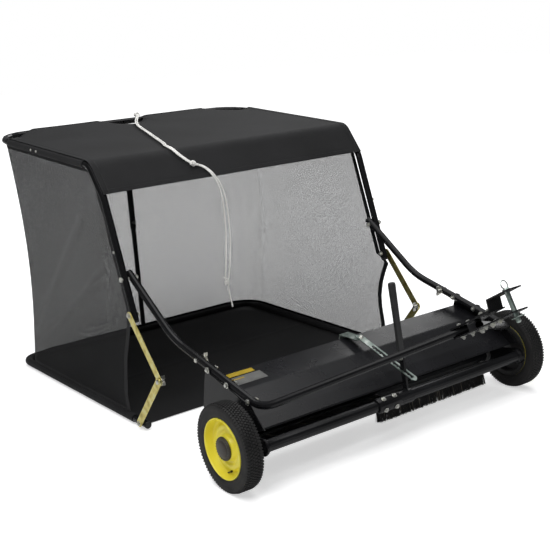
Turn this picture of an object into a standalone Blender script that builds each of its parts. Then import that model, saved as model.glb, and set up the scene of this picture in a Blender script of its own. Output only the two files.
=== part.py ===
"""Tow-behind lawn sweeper with a mesh hopper. Metres, +X right, +Y to the rear, +Z up, ground at z = 0.

The bench coordinates below put the wheel axle at y = 0. One root empty then moves the whole machine so that
the origin is the middle of its footprint.
"""
import math

import bmesh
import bpy
from mathutils import Matrix, Vector

for leftover in list(bpy.data.objects):
    bpy.data.objects.remove(leftover, do_unlink=True)

# ---------------------------------------------------------------- driving dimensions
MACHINE_Y = -0.5148            # moves the wheel axle so that the footprint is centred on the origin
GAP = 0.0003                   # play between pieces that touch
SIDES = 12                     # facets round a tube

WHEEL_R = 0.140
WHEEL_IN = 0.584               # inner and outer face of a tyre, from the middle of the machine
WHEEL_OUT = 0.644
RIM_R = 0.0965
GEAR_MODULE = 0.003125
RING_TEETH = 50
PINION_TEETH = 10
GEAR_ANGLE = math.radians(-18.7)   # direction from the axle to the brush shaft
TUBE_R = 0.0125                # tow tubes, arms and hopper frame
TUBE_WALL = 0.0016

AXLE = Vector((0, 0, WHEEL_R))
CENTRES = GEAR_MODULE * (RING_TEETH - PINION_TEETH) / 2
BRUSH = AXLE + CENTRES * Vector((0, math.cos(GEAR_ANGLE), math.sin(GEAR_ANGLE)))
BRUSH_R = 0.108
SHAFT_R = 0.008
CORE_R = 0.022
HOUSING_X = 0.5458             # inner face of a side plate
SIDE_THICK = 0.003
SWING_X = 0.5535               # inner face of a swing plate
SWING_THICK = 0.004

CROSS = Vector((0, -0.090, 0.146))     # front cross tube
CROSS_R = 0.019

TOW_X = 0.533
TOW_BEND = Vector((TOW_X, -0.064, 0.255))
TOW_SLOPE = math.radians(12.9)
TOW_BACK = 0.290               # rear end of a tow tube
HITCH_RISE = math.radians(29.6)
TOW_REACH = 0.431              # from the bend line to where the tow tubes would meet

PIVOT = Vector((0, 0.665, 0.530))      # the hopper tips about this line
HOPPER_X = 0.559
HOPPER_BACK = 1.640
TOP_FRONT = Vector((HOPPER_X, 0.838, 0.900))
TOP_REAR_Z = 0.935
UPRIGHT_KINK = Vector((HOPPER_X, 0.757, 0.800))
UPRIGHT_END = Vector((HOPPER_X, 0.622, 0.392))
CORNER_R = 0.130
FLOOR_Z = 0.0175               # centre line of the floor frame
FLOOR_FRONT = 0.612
KNEE_TOP = Vector((0, 0.629, 0.412))
KNEE_LOW = Vector((0, 0.629, FLOOR_Z + 0.008))
LINK = 0.255
SHEET = 0.003                  # fabric thickness

# ---------------------------------------------------------------- bodies and their axes
MACHINE = bpy.data.objects.new("machine", None)
bpy.context.scene.collection.objects.link(MACHINE)
MACHINE.location = (0, MACHINE_Y, 0)
PIVOTS = {"frame": (MACHINE, Vector())}


def pivot(name, parent, place):
    """An empty on a joint's axis. Objects hung on it are still given in bench coordinates."""
    empty = bpy.data.objects.new(name + "_axis", None)
    bpy.context.scene.collection.objects.link(empty)
    parent_empty, parent_place = PIVOTS[parent]
    empty.parent = parent_empty
    empty.location = Vector(place) - parent_place
    PIVOTS[name] = (empty, Vector(place))


def knee_point():
    """Where the two links of a knee meet: both have the same length."""
    half = (KNEE_TOP - KNEE_LOW).length / 2
    middle = (KNEE_TOP + KNEE_LOW) / 2
    return middle + Vector((0, -math.sqrt(LINK ** 2 - half ** 2), 0))


def hitch_point(x, forward, up):
    """A point of the tilted hitch: forward and up are measured along and square to its plates."""
    along = Vector((0, -math.cos(HITCH_RISE), math.sin(HITCH_RISE)))
    square = Vector((0, math.sin(HITCH_RISE), math.cos(HITCH_RISE)))
    return Vector((x, TOW_BEND.y, TOW_BEND.z)) + forward * along + up * square


KNEE = knee_point()
PIN_FORWARD = 0.594
pivot("wheel_carrier", "frame", BRUSH)
for side, sign in (("left", -1), ("right", 1)):
    pivot(side + "_wheel", "wheel_carrier", AXLE + Vector((sign * (WHEEL_IN + WHEEL_OUT) / 2, 0, 0)))
    pivot(side + "_pinion", "wheel_carrier", BRUSH + Vector((sign * 0.593, 0, 0)))
pivot("brush", "wheel_carrier", BRUSH)
pivot("hitch_pin", "frame", hitch_point(0, PIN_FORWARD, 0))
pivot("hitch_clip", "hitch_pin", hitch_point(0, PIN_FORWARD, -0.030))
pivot("hopper", "frame", PIVOT)
pivot("hopper_floor", "hopper", (0, HOPPER_BACK, FLOOR_Z))
for side, sign in (("left", -1), ("right", 1)):
    pivot("upper_knee_" + side, "hopper", KNEE_TOP + Vector((sign * 0.58, 0, 0)))
    pivot("lower_knee_" + side, "hopper_floor", KNEE_LOW + Vector((sign * 0.587, 0, 0)))


# ---------------------------------------------------------------- materials
def material(name, colour, roughness, metallic):
    mat = bpy.data.materials.new(name)
    mat.use_nodes = True
    shader = mat.node_tree.nodes["Principled BSDF"]
    shader.inputs["Base Color"].default_value = (*colour, 1)
    shader.inputs["Roughness"].default_value = roughness
    shader.inputs["Metallic"].default_value = metallic
    mat.diffuse_color = (*colour, 1)
    return mat


BLACK_PAINT = material("black_powder_coat", (0.016, 0.016, 0.018), 0.34, 0.0)
COVER_PAINT = material("black_gloss_paint", (0.013, 0.013, 0.015), 0.26, 0.0)
YELLOW_RIM = material("yellow_rim_plastic", (0.78, 0.60, 0.04), 0.38, 0.0)
TYRE_RUBBER = material("tyre_rubber", (0.022, 0.022, 0.022), 0.8, 0.0)
HUB_PLASTIC = material("hub_cap_plastic", (0.055, 0.048, 0.042), 0.45, 0.0)
GEAR_PLASTIC = material("gear_plastic", (0.03, 0.03, 0.03), 0.5, 0.0)
BRISTLE = material("bristle_nylon", (0.018, 0.018, 0.018), 0.6, 0.0)
ZINC = material("zinc_plate", (0.62, 0.63, 0.56), 0.34, 1.0)
YELLOW_ZINC = material("yellow_zinc_plate", (0.46, 0.40, 0.18), 0.36, 1.0)
BOLT_ZINC = material("bolt_zinc", (0.55, 0.55, 0.52), 0.3, 1.0)
GRIP_VINYL = material("grip_vinyl", (0.02, 0.02, 0.02), 0.55, 0.0)
CANOPY_FABRIC = material("canopy_fabric", (0.02, 0.02, 0.022), 0.85, 0.0)
MESH_FABRIC = material("mesh_fabric", (0.03, 0.03, 0.032), 0.85, 0.0)
ROPE_WHITE = material("rope_white", (0.80, 0.80, 0.78), 0.7, 0.0)
BUSH_PLASTIC = material("bush_plastic", (0.10, 0.10, 0.10), 0.5, 0.0)


# ---------------------------------------------------------------- modelling tools
def add_object(name, bm, mat, body="frame", smooth=False, turn=None, place=(0, 0, 0)):
    """Turns a bmesh into an object that hangs on the empty of its body."""
    bmesh.ops.recalc_face_normals(bm, faces=bm.faces)
    mesh = bpy.data.meshes.new(name)
    bm.to_mesh(mesh)
    bm.free()
    obj = bpy.data.objects.new(name, mesh)
    bpy.context.scene.collection.objects.link(obj)
    empty, empty_place = PIVOTS[body]
    obj.parent = empty
    obj.location = Vector(place) - empty_place
    if turn is not None:
        obj.rotation_euler = turn.to_euler()
    mesh.materials.append(mat)
    if smooth:
        mesh.shade_smooth()
        mesh.set_sharp_from_angle(angle=math.radians(35))
    return obj


def ring(bm, centre, across, up, radius, count, turn=0.0):
    loop = []
    for step in range(count):
        angle = turn + 2 * math.pi * step / count
        loop.append(bm.verts.new(centre + radius * (math.cos(angle) * across + math.sin(angle) * up)))
    return loop


def skin(bm, first, second):
    count = len(first)
    for index in range(count):
        after = (index + 1) % count
        bm.faces.new((first[index], first[after], second[after], second[index]))


def square_axes(direction):
    direction = Vector(direction).normalized()
    helper = Vector((0, 0, 1)) if abs(direction.z) < 0.9 else Vector((0, 1, 0))
    across = direction.cross(helper).normalized()
    return across, direction.cross(across).normalized()


def turned(bm, start, direction, profile, count, bored=False):
    """A lathe part: profile holds (distance along the axis, radius). A bored one closes on itself."""
    direction = Vector(direction).normalized()
    across, up = square_axes(direction)
    loops = [ring(bm, Vector(start) + along * direction, across, up, radius, count)
             for along, radius in profile]
    for first, second in zip(loops, loops[1:]):
        skin(bm, first, second)
    if bored:
        skin(bm, loops[-1], loops[0])
    else:
        bm.faces.new(loops[0])
        bm.faces.new(loops[-1])


def rounded(points, radius, steps=4):
    """A polyline with each inner corner replaced by an arc."""
    points = [Vector(p) for p in points]
    path = [points[0]]
    for before, corner, after in zip(points, points[1:], points[2:]):
        to_before = (before - corner).normalized()
        to_after = (after - corner).normalized()
        half = to_before.angle(to_after) / 2
        centre = corner + (to_before + to_after).normalized() * radius / math.sin(half)
        arm = corner + to_before * radius / math.tan(half) - centre
        axis = to_after.cross(to_before).normalized()
        sweep = math.pi - 2 * half
        for step in range(steps + 1):
            path.append(centre + Matrix.Rotation(sweep * step / steps, 3, axis) @ arm)
    path.append(points[-1])
    return path


def sweep_tube(bm, path, radius, wall=None, count=SIDES, inner_radius=None):
    """Sweeps a tube along a path; without a wall it is a solid rod. The radius may be one per point."""
    radii = radius if isinstance(radius, list) else [radius] * len(path)
    tangents = []
    for index, point in enumerate(path):
        before = path[max(index - 1, 0)]
        after = path[min(index + 1, len(path) - 1)]
        tangents.append((after - before).normalized())
    across, up = square_axes(tangents[0])
    outer = []
    inner = []
    for point, tangent, size in zip(path, tangents, radii):
        across = (across - across.dot(tangent) * tangent).normalized()
        up = tangent.cross(across)
        outer.append(ring(bm, point, across, up, size, count))
        if wall:
            inner.append(ring(bm, point, across, up, inner_radius or size - wall, count))
    for first, second in zip(outer, outer[1:]):
        skin(bm, first, second)
    if wall:
        for first, second in zip(inner, inner[1:]):
            skin(bm, second, first)
        skin(bm, inner[0], outer[0])
        skin(bm, outer[-1], inner[-1])
    else:
        bm.faces.new(outer[0])
        bm.faces.new(outer[-1])


def box(bm, centre, size, turn=None):
    matrix = Matrix.Translation(Vector(centre))
    if turn is not None:
        matrix = matrix @ turn.to_4x4()
    bmesh.ops.create_cube(bm, size=1, matrix=matrix @ Matrix.Diagonal((*size, 1)))


def plate(bm, outline, holes, thickness):
    """A flat plate in local XY, thickness along +Z; holes are (x, y, radius) or outlines."""
    loops = [outline]
    for hole in holes:
        if len(hole) == 3 and not hasattr(hole[0], "__len__"):
            x, y, radius = hole
            loops.append([(x + radius * math.cos(2 * math.pi * k / SIDES),
                           y + radius * math.sin(2 * math.pi * k / SIDES)) for k in range(SIDES)])
        else:
            loops.append(hole)
    edges = []
    for loop in loops:
        verts = [bm.verts.new((x, y, 0)) for x, y in loop]
        for first, second in zip(verts, verts[1:] + verts[:1]):
            edges.append(bm.edges.new((first, second)))
    filled = bmesh.ops.triangle_fill(bm, edges=edges, use_beauty=True, use_dissolve=False)
    faces = [item for item in filled["geom"] if isinstance(item, bmesh.types.BMFace)]
    grown = bmesh.ops.extrude_face_region(bm, geom=faces)
    moved = [item for item in grown["geom"] if isinstance(item, bmesh.types.BMVert)]
    bmesh.ops.translate(bm, vec=(0, 0, thickness), verts=moved)


def combine(obj, bm, operation):
    """Cuts a bench-coordinate shape out of an object, or welds it on."""
    bmesh.ops.recalc_face_normals(bm, faces=bm.faces)
    mesh = bpy.data.meshes.new("tool")
    bm.to_mesh(mesh)
    bm.free()
    tool = bpy.data.objects.new("tool", mesh)
    bpy.context.scene.collection.objects.link(tool)
    tool.location = (0, MACHINE_Y, 0)
    change = obj.modifiers.new("change", "BOOLEAN")
    change.operation = operation
    change.object = tool
    bpy.context.view_layer.update()
    changed = bpy.data.meshes.new_from_object(obj.evaluated_get(bpy.context.evaluated_depsgraph_get()))
    obj.modifiers.remove(change)
    obj.data = changed
    bpy.data.objects.remove(tool, do_unlink=True)


def drill(obj, holes, count=8):
    """Drills round holes through an object: each is (centre, direction, radius, length)."""
    bm = bmesh.new()
    for centre, direction, radius, length in holes:
        direction = Vector(direction).normalized()
        turned(bm, Vector(centre) - direction * length / 2, direction, [(0, radius), (length, radius)], count)
    combine(obj, bm, "DIFFERENCE")


def bolt(bm, under_head, direction, grip, radius=0.004, head=0.0068, head_high=0.0045, nut=True):
    """A hex bolt whose head sits on one side of a stack, with its shank and its nut on the far side."""
    profile = [(-head_high - GAP, head * 0.9), (-GAP - head_high * 0.8, head), (-GAP, head), (-GAP, radius)]
    if nut:
        profile += [(grip + GAP, radius), (grip + GAP, head), (grip + GAP + 0.005, head),
                    (grip + GAP + 0.005, radius), (grip + 0.009, radius * 0.85)]
    else:
        profile += [(grip, radius)]
    turned(bm, under_head, direction, profile, 6)


def wing_nut(obj, base, direction, wing=Vector((0, 0, 1)), span=0.030):
    """Welds a wing nut to a bolt's end: a turned hub, then two ears along the wing direction."""
    direction = Vector(direction).normalized()
    bm = bmesh.new()
    turned(bm, base, direction, [(0, 0.0135), (0.0012, 0.0135), (0.0012, 0.0085), (0.007, 0.0075),
                                 (0.013, 0.0055)], 12)
    combine(obj, bm, "UNION")
    across = direction.cross(wing).normalized()
    frame = Matrix((across, wing, direction)).transposed()
    bm = bmesh.new()
    for sign in (-1, 1):
        centre = Vector(base) + direction * 0.010 + wing * sign * (0.0050 + span * 0.2)
        box(bm, centre, (0.0035, span * 0.4, 0.014), frame)
    combine(obj, bm, "UNION")


def mirrored(points, sign):
    return [Vector((sign * p[0], p[1], p[2])) for p in points]


SIDEWAYS = Matrix(((0, 0, 1), (1, 0, 0), (0, 1, 0)))      # plate x, y, z to world Y, Z, X
HITCH_TURN = Matrix((Vector((1, 0, 0)), hitch_point(0, 1, 0) - hitch_point(0, 0, 0),
                     -(hitch_point(0, 0, 1) - hitch_point(0, 0, 0)))).transposed()


def sideways_plate(name, outline, holes, inner_x, thickness, sign, mat, body):
    """A plate that stands square to X, with its inner face at the given distance from the middle."""
    bm = bmesh.new()
    plate(bm, outline, holes, thickness)
    start = inner_x if sign > 0 else -inner_x - thickness
    return add_object(name, bm, mat, body, turn=SIDEWAYS, place=(start, 0, 0))


# ---------------------------------------------------------------- brush housing
SIDE_OUTLINE = [(0.222, 0.283), (0.243, 0.184), (0.200, 0.112), (0.110, 0.083), (0.022, 0.083), (-0.008, 0.120),
                (-0.030, 0.178), (-0.095, 0.198), (-0.049, 0.235), (-0.026, 0.262)]
COVER_OUTSIDE = [(0.2150, 0.2690), (0.2190, 0.2780), (0.2140, 0.2815), (0.1000, 0.2600), (-0.0200, 0.2150),
                 (-0.0600, 0.1900)]
SIDE_BOLTS = (0.200, 0.096, -0.015)
BEARING_X = HOUSING_X - GAP


def tow_height(y):
    return TOW_BEND.z + (y - TOW_BEND.y) * math.tan(TOW_SLOPE)


def side_plates():
    ears = []
    for y in SIDE_BOLTS:
        ears += [(y + 0.014, tow_height(y) - 0.006), (y + 0.008, tow_height(y) + 0.010),
                 (y - 0.008, tow_height(y) + 0.008), (y - 0.014, tow_height(y) - 0.010)]
    outline = SIDE_OUTLINE[:1] + ears + SIDE_OUTLINE[1:][::-1]
    holes = [(BRUSH.y, BRUSH.z, SHAFT_R + 0.002)]
    for side, sign in (("left", -1), ("right", 1)):
        sideways_plate("side_plate_" + side, outline, holes, HOUSING_X, SIDE_THICK, sign, BLACK_PAINT, "frame")


def housing_cover():
    """One bent sheet over the brush, with a rolled lip along its rear edge."""
    outside = [Vector((0, y, z)) for y, z in COVER_OUTSIDE]
    thickness = 0.0018
    inside = []
    for index, point in enumerate(outside):
        before = outside[max(index - 1, 0)]
        after = outside[min(index + 1, len(outside) - 1)]
        along = (after - before).normalized()
        inside.append(point + thickness * Vector((0, -along.z, along.y)) * -1)
    bm = bmesh.new()
    half = HOUSING_X - GAP
    ends = []
    for x in (-half, half):
        ends.append([bm.verts.new((x, p.y, p.z)) for p in outside + inside[::-1]])
    skin(bm, ends[0], ends[1])
    count = len(outside)
    for end in ends:
        for index in range(count - 1):
            mate = 2 * count - 1 - index
            bm.faces.new((end[index], end[index + 1], end[mate - 1], end[mate]))
    add_object("housing_cover", bm, COVER_PAINT)


def brush_bearings():
    profile = [(0, SHAFT_R + GAP), (0, 0.024), (0.003, 0.024), (0.003, 0.016), (0.010, 0.015),
               (0.010, SHAFT_R + GAP)]
    for side, sign in (("left", -1), ("right", 1)):
        bm = bmesh.new()
        turned(bm, BRUSH + Vector((sign * BEARING_X, 0, 0)), (-sign, 0, 0), profile, SIDES, bored=True)
        add_object("brush_bearing_" + side, bm, BUSH_PLASTIC)


# ---------------------------------------------------------------- tow frame and hitch
def tow_ends():
    """The two ends of a tow tube's centre line: behind the housing and at the hitch."""
    back = Vector((TOW_X, TOW_BACK, tow_height(TOW_BACK)))
    front = hitch_point(TOW_X, 0, 0).lerp(hitch_point(0, TOW_REACH, 0), 0.955)
    return back, front


ARM_BOLT = TOW_BACK - 0.022
HITCH_THICK = 0.004


def tow_tubes():
    back, front = tow_ends()
    for side, sign in (("left", -1), ("right", 1)):
        bm = bmesh.new()
        sweep_tube(bm, rounded(mirrored((back, TOW_BEND, front), sign), 0.075, 6), TUBE_R, TUBE_WALL)
        tube = add_object("tow_tube_" + side, bm, BLACK_PAINT, smooth=True)
        drill(tube, [((sign * TOW_X, ARM_BOLT, tow_height(ARM_BOLT)), (1, 0, 0), 0.0048, 0.06)])


def arm_bolts():
    """The bolt and wing nut that hold each hopper arm in its tow tube."""
    for side, sign in (("left", -1), ("right", 1)):
        outer = Vector((sign * (TOW_X + TUBE_R), ARM_BOLT, tow_height(ARM_BOLT)))
        bm = bmesh.new()
        bolt(bm, outer, (-sign, 0, 0), 2 * TUBE_R + 0.006, head=0.0078, nut=False)
        arm_bolt = add_object("arm_bolt_" + side, bm, BOLT_ZINC)
        wing_nut(arm_bolt, outer - Vector((sign * (2 * TUBE_R + GAP), 0, 0)), (-sign, 0, 0))


def hitch():
    face = TUBE_R + GAP
    rear = 0.382                   # the plates' rear edge, their half width there and the depth of that end
    wide = 0.066
    end = rear + 0.012
    upper = [(-wide, rear), (wide, rear), (wide, end), (0.050, 0.440), (0.034, 0.530), (-0.034, 0.530),
             (-0.050, 0.440), (-wide, end)]
    lower = [(-wide, rear), (wide, rear), (wide, end), (0.050, 0.440), (0.030, 0.540), (0.030, 0.616),
             (0.018, 0.630), (-0.018, 0.630), (-0.030, 0.616), (-0.030, 0.540), (-0.050, 0.440), (-wide, end)]
    pin_hole = [(0, PIN_FORWARD, 0.0088)]
    for name, outline, cuts, up in (("hitch_plate_upper", upper, [], face + HITCH_THICK),
                                    ("hitch_plate_lower", lower, pin_hole, -face)):
        bm = bmesh.new()
        plate(bm, outline, cuts, HITCH_THICK)
        add_object(name, bm, BLACK_PAINT, turn=HITCH_TURN, place=hitch_point(0, 0, up))
    strap = [(0.460, 0), (0.528, 0), (0.534, 0.030), (0.628, 0.030), (0.628, 0.0345), (0.530, 0.0345),
             (0.524, 0.0045), (0.460, 0.0045)]
    bm = bmesh.new()
    base = face + HITCH_THICK + GAP
    ends = []
    for x in (-0.028, 0.028):
        ends.append([bm.verts.new(hitch_point(x, forward, base + up)) for forward, up in strap])
    skin(bm, ends[0], ends[1])
    for end in ends:
        for first, second, third, fourth in ((0, 1, 6, 7), (1, 2, 5, 6), (2, 3, 4, 5)):
            bm.faces.new((end[first], end[second], end[third], end[fourth]))
    clevis = add_object("hitch_clevis", bm, BLACK_PAINT)
    square = hitch_point(0, 0, 1) - hitch_point(0, 0, 0)
    drill(clevis, [(hitch_point(0, PIN_FORWARD, base + 0.032), square, 0.0088, 0.03)], SIDES)


PIN_R = 0.008
PIN_NECK = -0.030


def hitch_pin():
    square = hitch_point(0, 0, 1) - hitch_point(0, 0, 0)
    head = TUBE_R + HITCH_THICK + 2 * GAP + 0.0345 + GAP
    bm = bmesh.new()
    top = head + 0.006
    profile = [(0, 0.010), (0.004, 0.0125), (0.006, 0.0125), (0.006, PIN_R)]
    profile += [(top - PIN_NECK - 0.003, PIN_R), (top - PIN_NECK - 0.003, 0.0050),
                (top - PIN_NECK + 0.003, 0.0050), (top - PIN_NECK + 0.003, PIN_R),
                (top - PIN_NECK + 0.012, PIN_R), (top - PIN_NECK + 0.016, 0.005)]
    turned(bm, hitch_point(0, PIN_FORWARD, top), -square, profile, SIDES)
    pin = add_object("hitch_pin", bm, ZINC, "hitch_pin", smooth=True)
    loop = []
    for step in range(13):
        angle = math.radians(-80 + 340 * step / 12)
        loop.append(hitch_point(0.013 * math.cos(angle), PIN_FORWARD, top + 0.0120 + 0.013 * math.sin(angle)))
    bm = bmesh.new()
    sweep_tube(bm, loop, 0.0018, count=6)
    combine(pin, bm, "UNION")
    bm = bmesh.new()
    leg = 0.0050 + 0.0016 + GAP
    corners = [(-leg, -0.016), (-leg, 0.024), (0, 0.034), (leg, 0.024), (leg, -0.020)]
    path = [hitch_point(x, PIN_FORWARD + y, PIN_NECK) for x, y in corners]
    sweep_tube(bm, rounded(path, 0.005, 2), 0.0016, count=6)
    add_object("hitch_clip", bm, ZINC, "hitch_clip", smooth=True)


# ---------------------------------------------------------------- hopper arms
ARM_PATH = [(TOW_X, TOW_BACK + GAP, tow_height(TOW_BACK + GAP)), (TOW_X, 0.420, tow_height(0.420)),
            (TOW_X, 0.684, 0.546)]


def hopper_arms():
    """Each arm has a reduced front end that slides into its tow tube."""
    spigot = TUBE_R - TUBE_WALL - 0.0004
    depth = 0.050
    for side, sign in (("left", -1), ("right", 1)):
        arm = rounded(mirrored(ARM_PATH, sign), 0.30, 4)
        neck = arm[0] + (arm[0] - arm[1]).normalized() * 0.0001
        front = neck + (arm[0] - arm[1]).normalized() * depth
        path = [front, neck] + arm
        radii = [spigot, spigot] + [TUBE_R] * len(arm)
        bm = bmesh.new()
        sweep_tube(bm, path, radii, TUBE_WALL, inner_radius=spigot - 0.0015)
        tube = add_object("hopper_arm_" + side, bm, BLACK_PAINT, smooth=True)
        drill(tube, [((sign * TOW_X, PIVOT.y, PIVOT.z), (1, 0, 0), 0.0058, 0.06),
                     ((sign * TOW_X, ARM_BOLT, tow_height(ARM_BOLT)), (1, 0, 0), 0.0048, 0.06)])


# ---------------------------------------------------------------- height adjuster
LEVER_X = 0.020
STRAP_BACK = Vector((LEVER_X, 0.150, 0.2995))
STRAP_FRONT = Vector((LEVER_X, -0.136, 0.2110))
LEVER_FOOT = Vector((LEVER_X, CROSS.y + 0.0040, CROSS.z + 0.0242))
LEVER_TOP = Vector((LEVER_X, -0.034, 0.520))


def height_strap():
    """A flat strap with a toothed slot: the teeth hold the lever."""
    along = STRAP_FRONT - STRAP_BACK
    length = along.length
    along.normalize()
    wide = 0.0125
    slot_half = 0.0050
    tooth_deep = 0.0085
    outline = [(0, -wide), (length - 0.010, -wide), (length, -wide + 0.010), (length, wide - 0.010),
               (length - 0.010, wide), (0, wide)]
    start, end, teeth = 0.075, length - 0.014, 12
    pitch = (end - start) / teeth
    slot = []
    for tooth in range(teeth):
        left = start + tooth * pitch
        slot += [(left, -slot_half), (left + pitch * 0.55, -slot_half), (left + pitch * 0.55, -tooth_deep),
                 (left + pitch, -tooth_deep)]
    slot += [(end, slot_half), (start, slot_half)]
    bm = bmesh.new()
    plate(bm, outline, [slot, (0.016, 0, 0.0045)], 0.003)
    across = Vector((1, 0, 0))
    turn = Matrix((along, across, along.cross(across))).transposed()
    add_object("height_strap", bm, ZINC, turn=turn, place=STRAP_BACK)


def height_bracket():
    """A folded bracket that carries the strap over the cover's rear edge."""
    bm = bmesh.new()
    profile = [(0.226, 0.2350), (0.226, 0.2900), (0.132, 0.2905), (0.132, 0.2930), (0.2285, 0.2925),
               (0.2285, 0.2350)]
    ends = []
    for x in (LEVER_X - 0.020, LEVER_X + 0.020):
        ends.append([bm.verts.new((x, y, z)) for y, z in profile])
    skin(bm, ends[0], ends[1])
    for end in ends:
        bm.faces.new((end[0], end[1], end[4], end[5]))
        bm.faces.new((end[1], end[2], end[3], end[4]))
    add_object("height_bracket", bm, ZINC)


def cross_tube():
    half = SWING_X - GAP
    bm = bmesh.new()
    sweep_tube(bm, [CROSS - Vector((half, 0, 0)), CROSS + Vector((half, 0, 0))], CROSS_R, 0.002, 16)
    add_object("front_cross_tube", bm, BLACK_PAINT, "wheel_carrier", smooth=True)


def swing_plates():
    radius = 0.028
    outline = []
    way = math.atan2(CROSS.z - BRUSH.z, CROSS.y - BRUSH.y)
    for centre, start in ((CROSS, way - math.pi / 2), (BRUSH, way + math.pi / 2)):
        for step in range(9):
            angle = start + math.pi * step / 8
            outline.append((centre.y + radius * math.cos(angle), centre.z + radius * math.sin(angle)))
    holes = [(BRUSH.y, BRUSH.z, SHAFT_R + GAP + 0.0002)]
    for side, sign in (("left", -1), ("right", 1)):
        swing = sideways_plate("swing_plate_" + side, outline, holes, SWING_X, SWING_THICK, sign, BLACK_PAINT,
                               "wheel_carrier")
        bm = bmesh.new()
        profile = [(0, 0.0160), (SWING_THICK + 0.004, 0.0160), (SWING_THICK + 0.004, 0.0100),
                   (0.0790, 0.0100), (0.0800, 0.0090)]
        turned(bm, AXLE + Vector((sign * (SWING_X + 0.0005), 0, 0)), (sign, 0, 0), profile, SIDES)
        combine(swing, bm, "UNION")


def height_lever():
    bm = bmesh.new()
    profile = [(0, CROSS_R + GAP), (0, CROSS_R + 0.0045), (0.118, CROSS_R + 0.0045), (0.118, CROSS_R + GAP)]
    turned(bm, CROSS + Vector((-0.084, 0, 0)), (1, 0, 0), profile, 16, bored=True)
    add_object("lever_clamp", bm, BLACK_PAINT, "wheel_carrier", smooth=True)
    along = (LEVER_TOP - LEVER_FOOT).normalized()
    across = Vector((1, 0, 0))
    turn = Matrix((across, along.cross(across), along)).transposed()
    length = (LEVER_TOP - LEVER_FOOT).length
    bar_end = 0.125
    bm = bmesh.new()
    box(bm, LEVER_FOOT + along * (0.0008 + bar_end / 2), (0.008, 0.019, bar_end), turn)
    lever = add_object("height_lever", bm, BLACK_PAINT, "wheel_carrier")
    bm = bmesh.new()
    start = LEVER_FOOT + along * (0.0008 + bar_end + GAP)
    high = length - bar_end
    turned(bm, start, along, [(0, 0.010), (0.002, 0.0122), (high * 0.5, 0.0118), (high - 0.008, 0.0130),
                              (high - 0.002, 0.0115), (high, 0.007)], SIDES)
    add_object("lever_grip", bm, GRIP_VINYL, "wheel_carrier", smooth=True)


# ---------------------------------------------------------------- wheels and gears
def tooth_loop(teeth, inside, turn):
    """Outline of a spur gear with straight-sided teeth; an inside gear's teeth point to its axis."""
    pitch_r = teeth * GEAR_MODULE / 2
    tip = pitch_r + (-0.75 if inside else 0.75) * GEAR_MODULE
    root = pitch_r + (1.05 if inside else -1.05) * GEAR_MODULE
    step = 2 * math.pi / teeth
    loop = []
    for tooth in range(teeth):
        middle = turn + tooth * step
        for share, radius in ((-0.30, root), (-0.11, tip), (0.11, tip), (0.30, root)):
            angle = middle + share * step
            loop.append((radius * math.cos(angle), radius * math.sin(angle)))
    return loop


def gear_body(bm, outline, other, first_x, last_x, centre):
    """Joins a toothed outline to a plain round loop with as many points."""
    loops = []
    for points in (outline, other):
        for x in (first_x, last_x):
            loops.append([bm.verts.new(centre + Vector((x, y, z))) for y, z in points])
    toothed_first, toothed_last, plain_first, plain_last = loops
    skin(bm, toothed_first, toothed_last)
    skin(bm, plain_last, plain_first)
    skin(bm, plain_first, toothed_first)
    skin(bm, toothed_last, plain_last)


def plain_loop(outline, radius):
    points = []
    for y, z in outline:
        angle = math.atan2(z, y)
        points.append((radius * math.cos(angle), radius * math.sin(angle)))
    return points


RIM_PROFILE = [(0.5750, 0.0103), (0.5750, 0.0180), (0.6028, 0.0180), (0.6028, 0.0925), (0.5860, 0.0925),
               (0.5860, RIM_R), (0.6425, RIM_R), (0.6425, 0.0925), (0.6160, 0.0885), (0.6130, 0.0760),
               (0.6230, 0.0690), (0.6230, 0.0560), (0.6170, 0.0510), (0.6170, 0.0430), (0.6310, 0.0390),
               (0.6338, 0.0103)]
TYRE_PROFILE = [(0.5880, RIM_R + GAP), (WHEEL_IN, 0.1050), (WHEEL_IN, 0.1270), (0.5885, 0.1365),
                (0.5960, WHEEL_R), (0.6320, WHEEL_R), (0.6395, 0.1365), (WHEEL_OUT, 0.1270),
                (WHEEL_OUT, 0.1050), (0.6400, RIM_R + GAP)]
HUB_PROFILE = [(0.6345, 0.0370), (0.6405, 0.0355), (0.6460, 0.0280), (0.6485, 0.0120)]


def wheels():
    for side, sign in (("left", -1), ("right", 1)):
        body = side + "_wheel"
        for name, profile, mat, count, bored in (("rim", RIM_PROFILE, YELLOW_RIM, 36, True),
                                                 ("tyre", TYRE_PROFILE, TYRE_RUBBER, 36, True),
                                                 ("hub_cap", HUB_PROFILE, HUB_PLASTIC, 20, False)):
            bm = bmesh.new()
            turned(bm, AXLE, (sign, 0, 0), profile, count, bored)
            add_object(name + "_" + side, bm, mat, body, smooth=True)
        bm = bmesh.new()
        half_step = math.pi / RING_TEETH
        teeth = tooth_loop(RING_TEETH, True, GEAR_ANGLE + half_step)
        gear_body(bm, teeth, plain_loop(teeth, 0.0920), sign * 0.5840, sign * 0.6025, AXLE)
        add_object("ring_gear_" + side, bm, GEAR_PLASTIC, body)
        bm = bmesh.new()
        teeth = tooth_loop(PINION_TEETH, False, GEAR_ANGLE)
        gear_body(bm, teeth, plain_loop(teeth, SHAFT_R + GAP), sign * 0.5845, sign * 0.5985, BRUSH)
        add_object("pinion_" + side, bm, GEAR_PLASTIC, side + "_pinion")


# ---------------------------------------------------------------- brush
ROWS = 2                       # bristle rows on each half of the brush
BRUSH_HALF = HOUSING_X - 0.018


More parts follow.
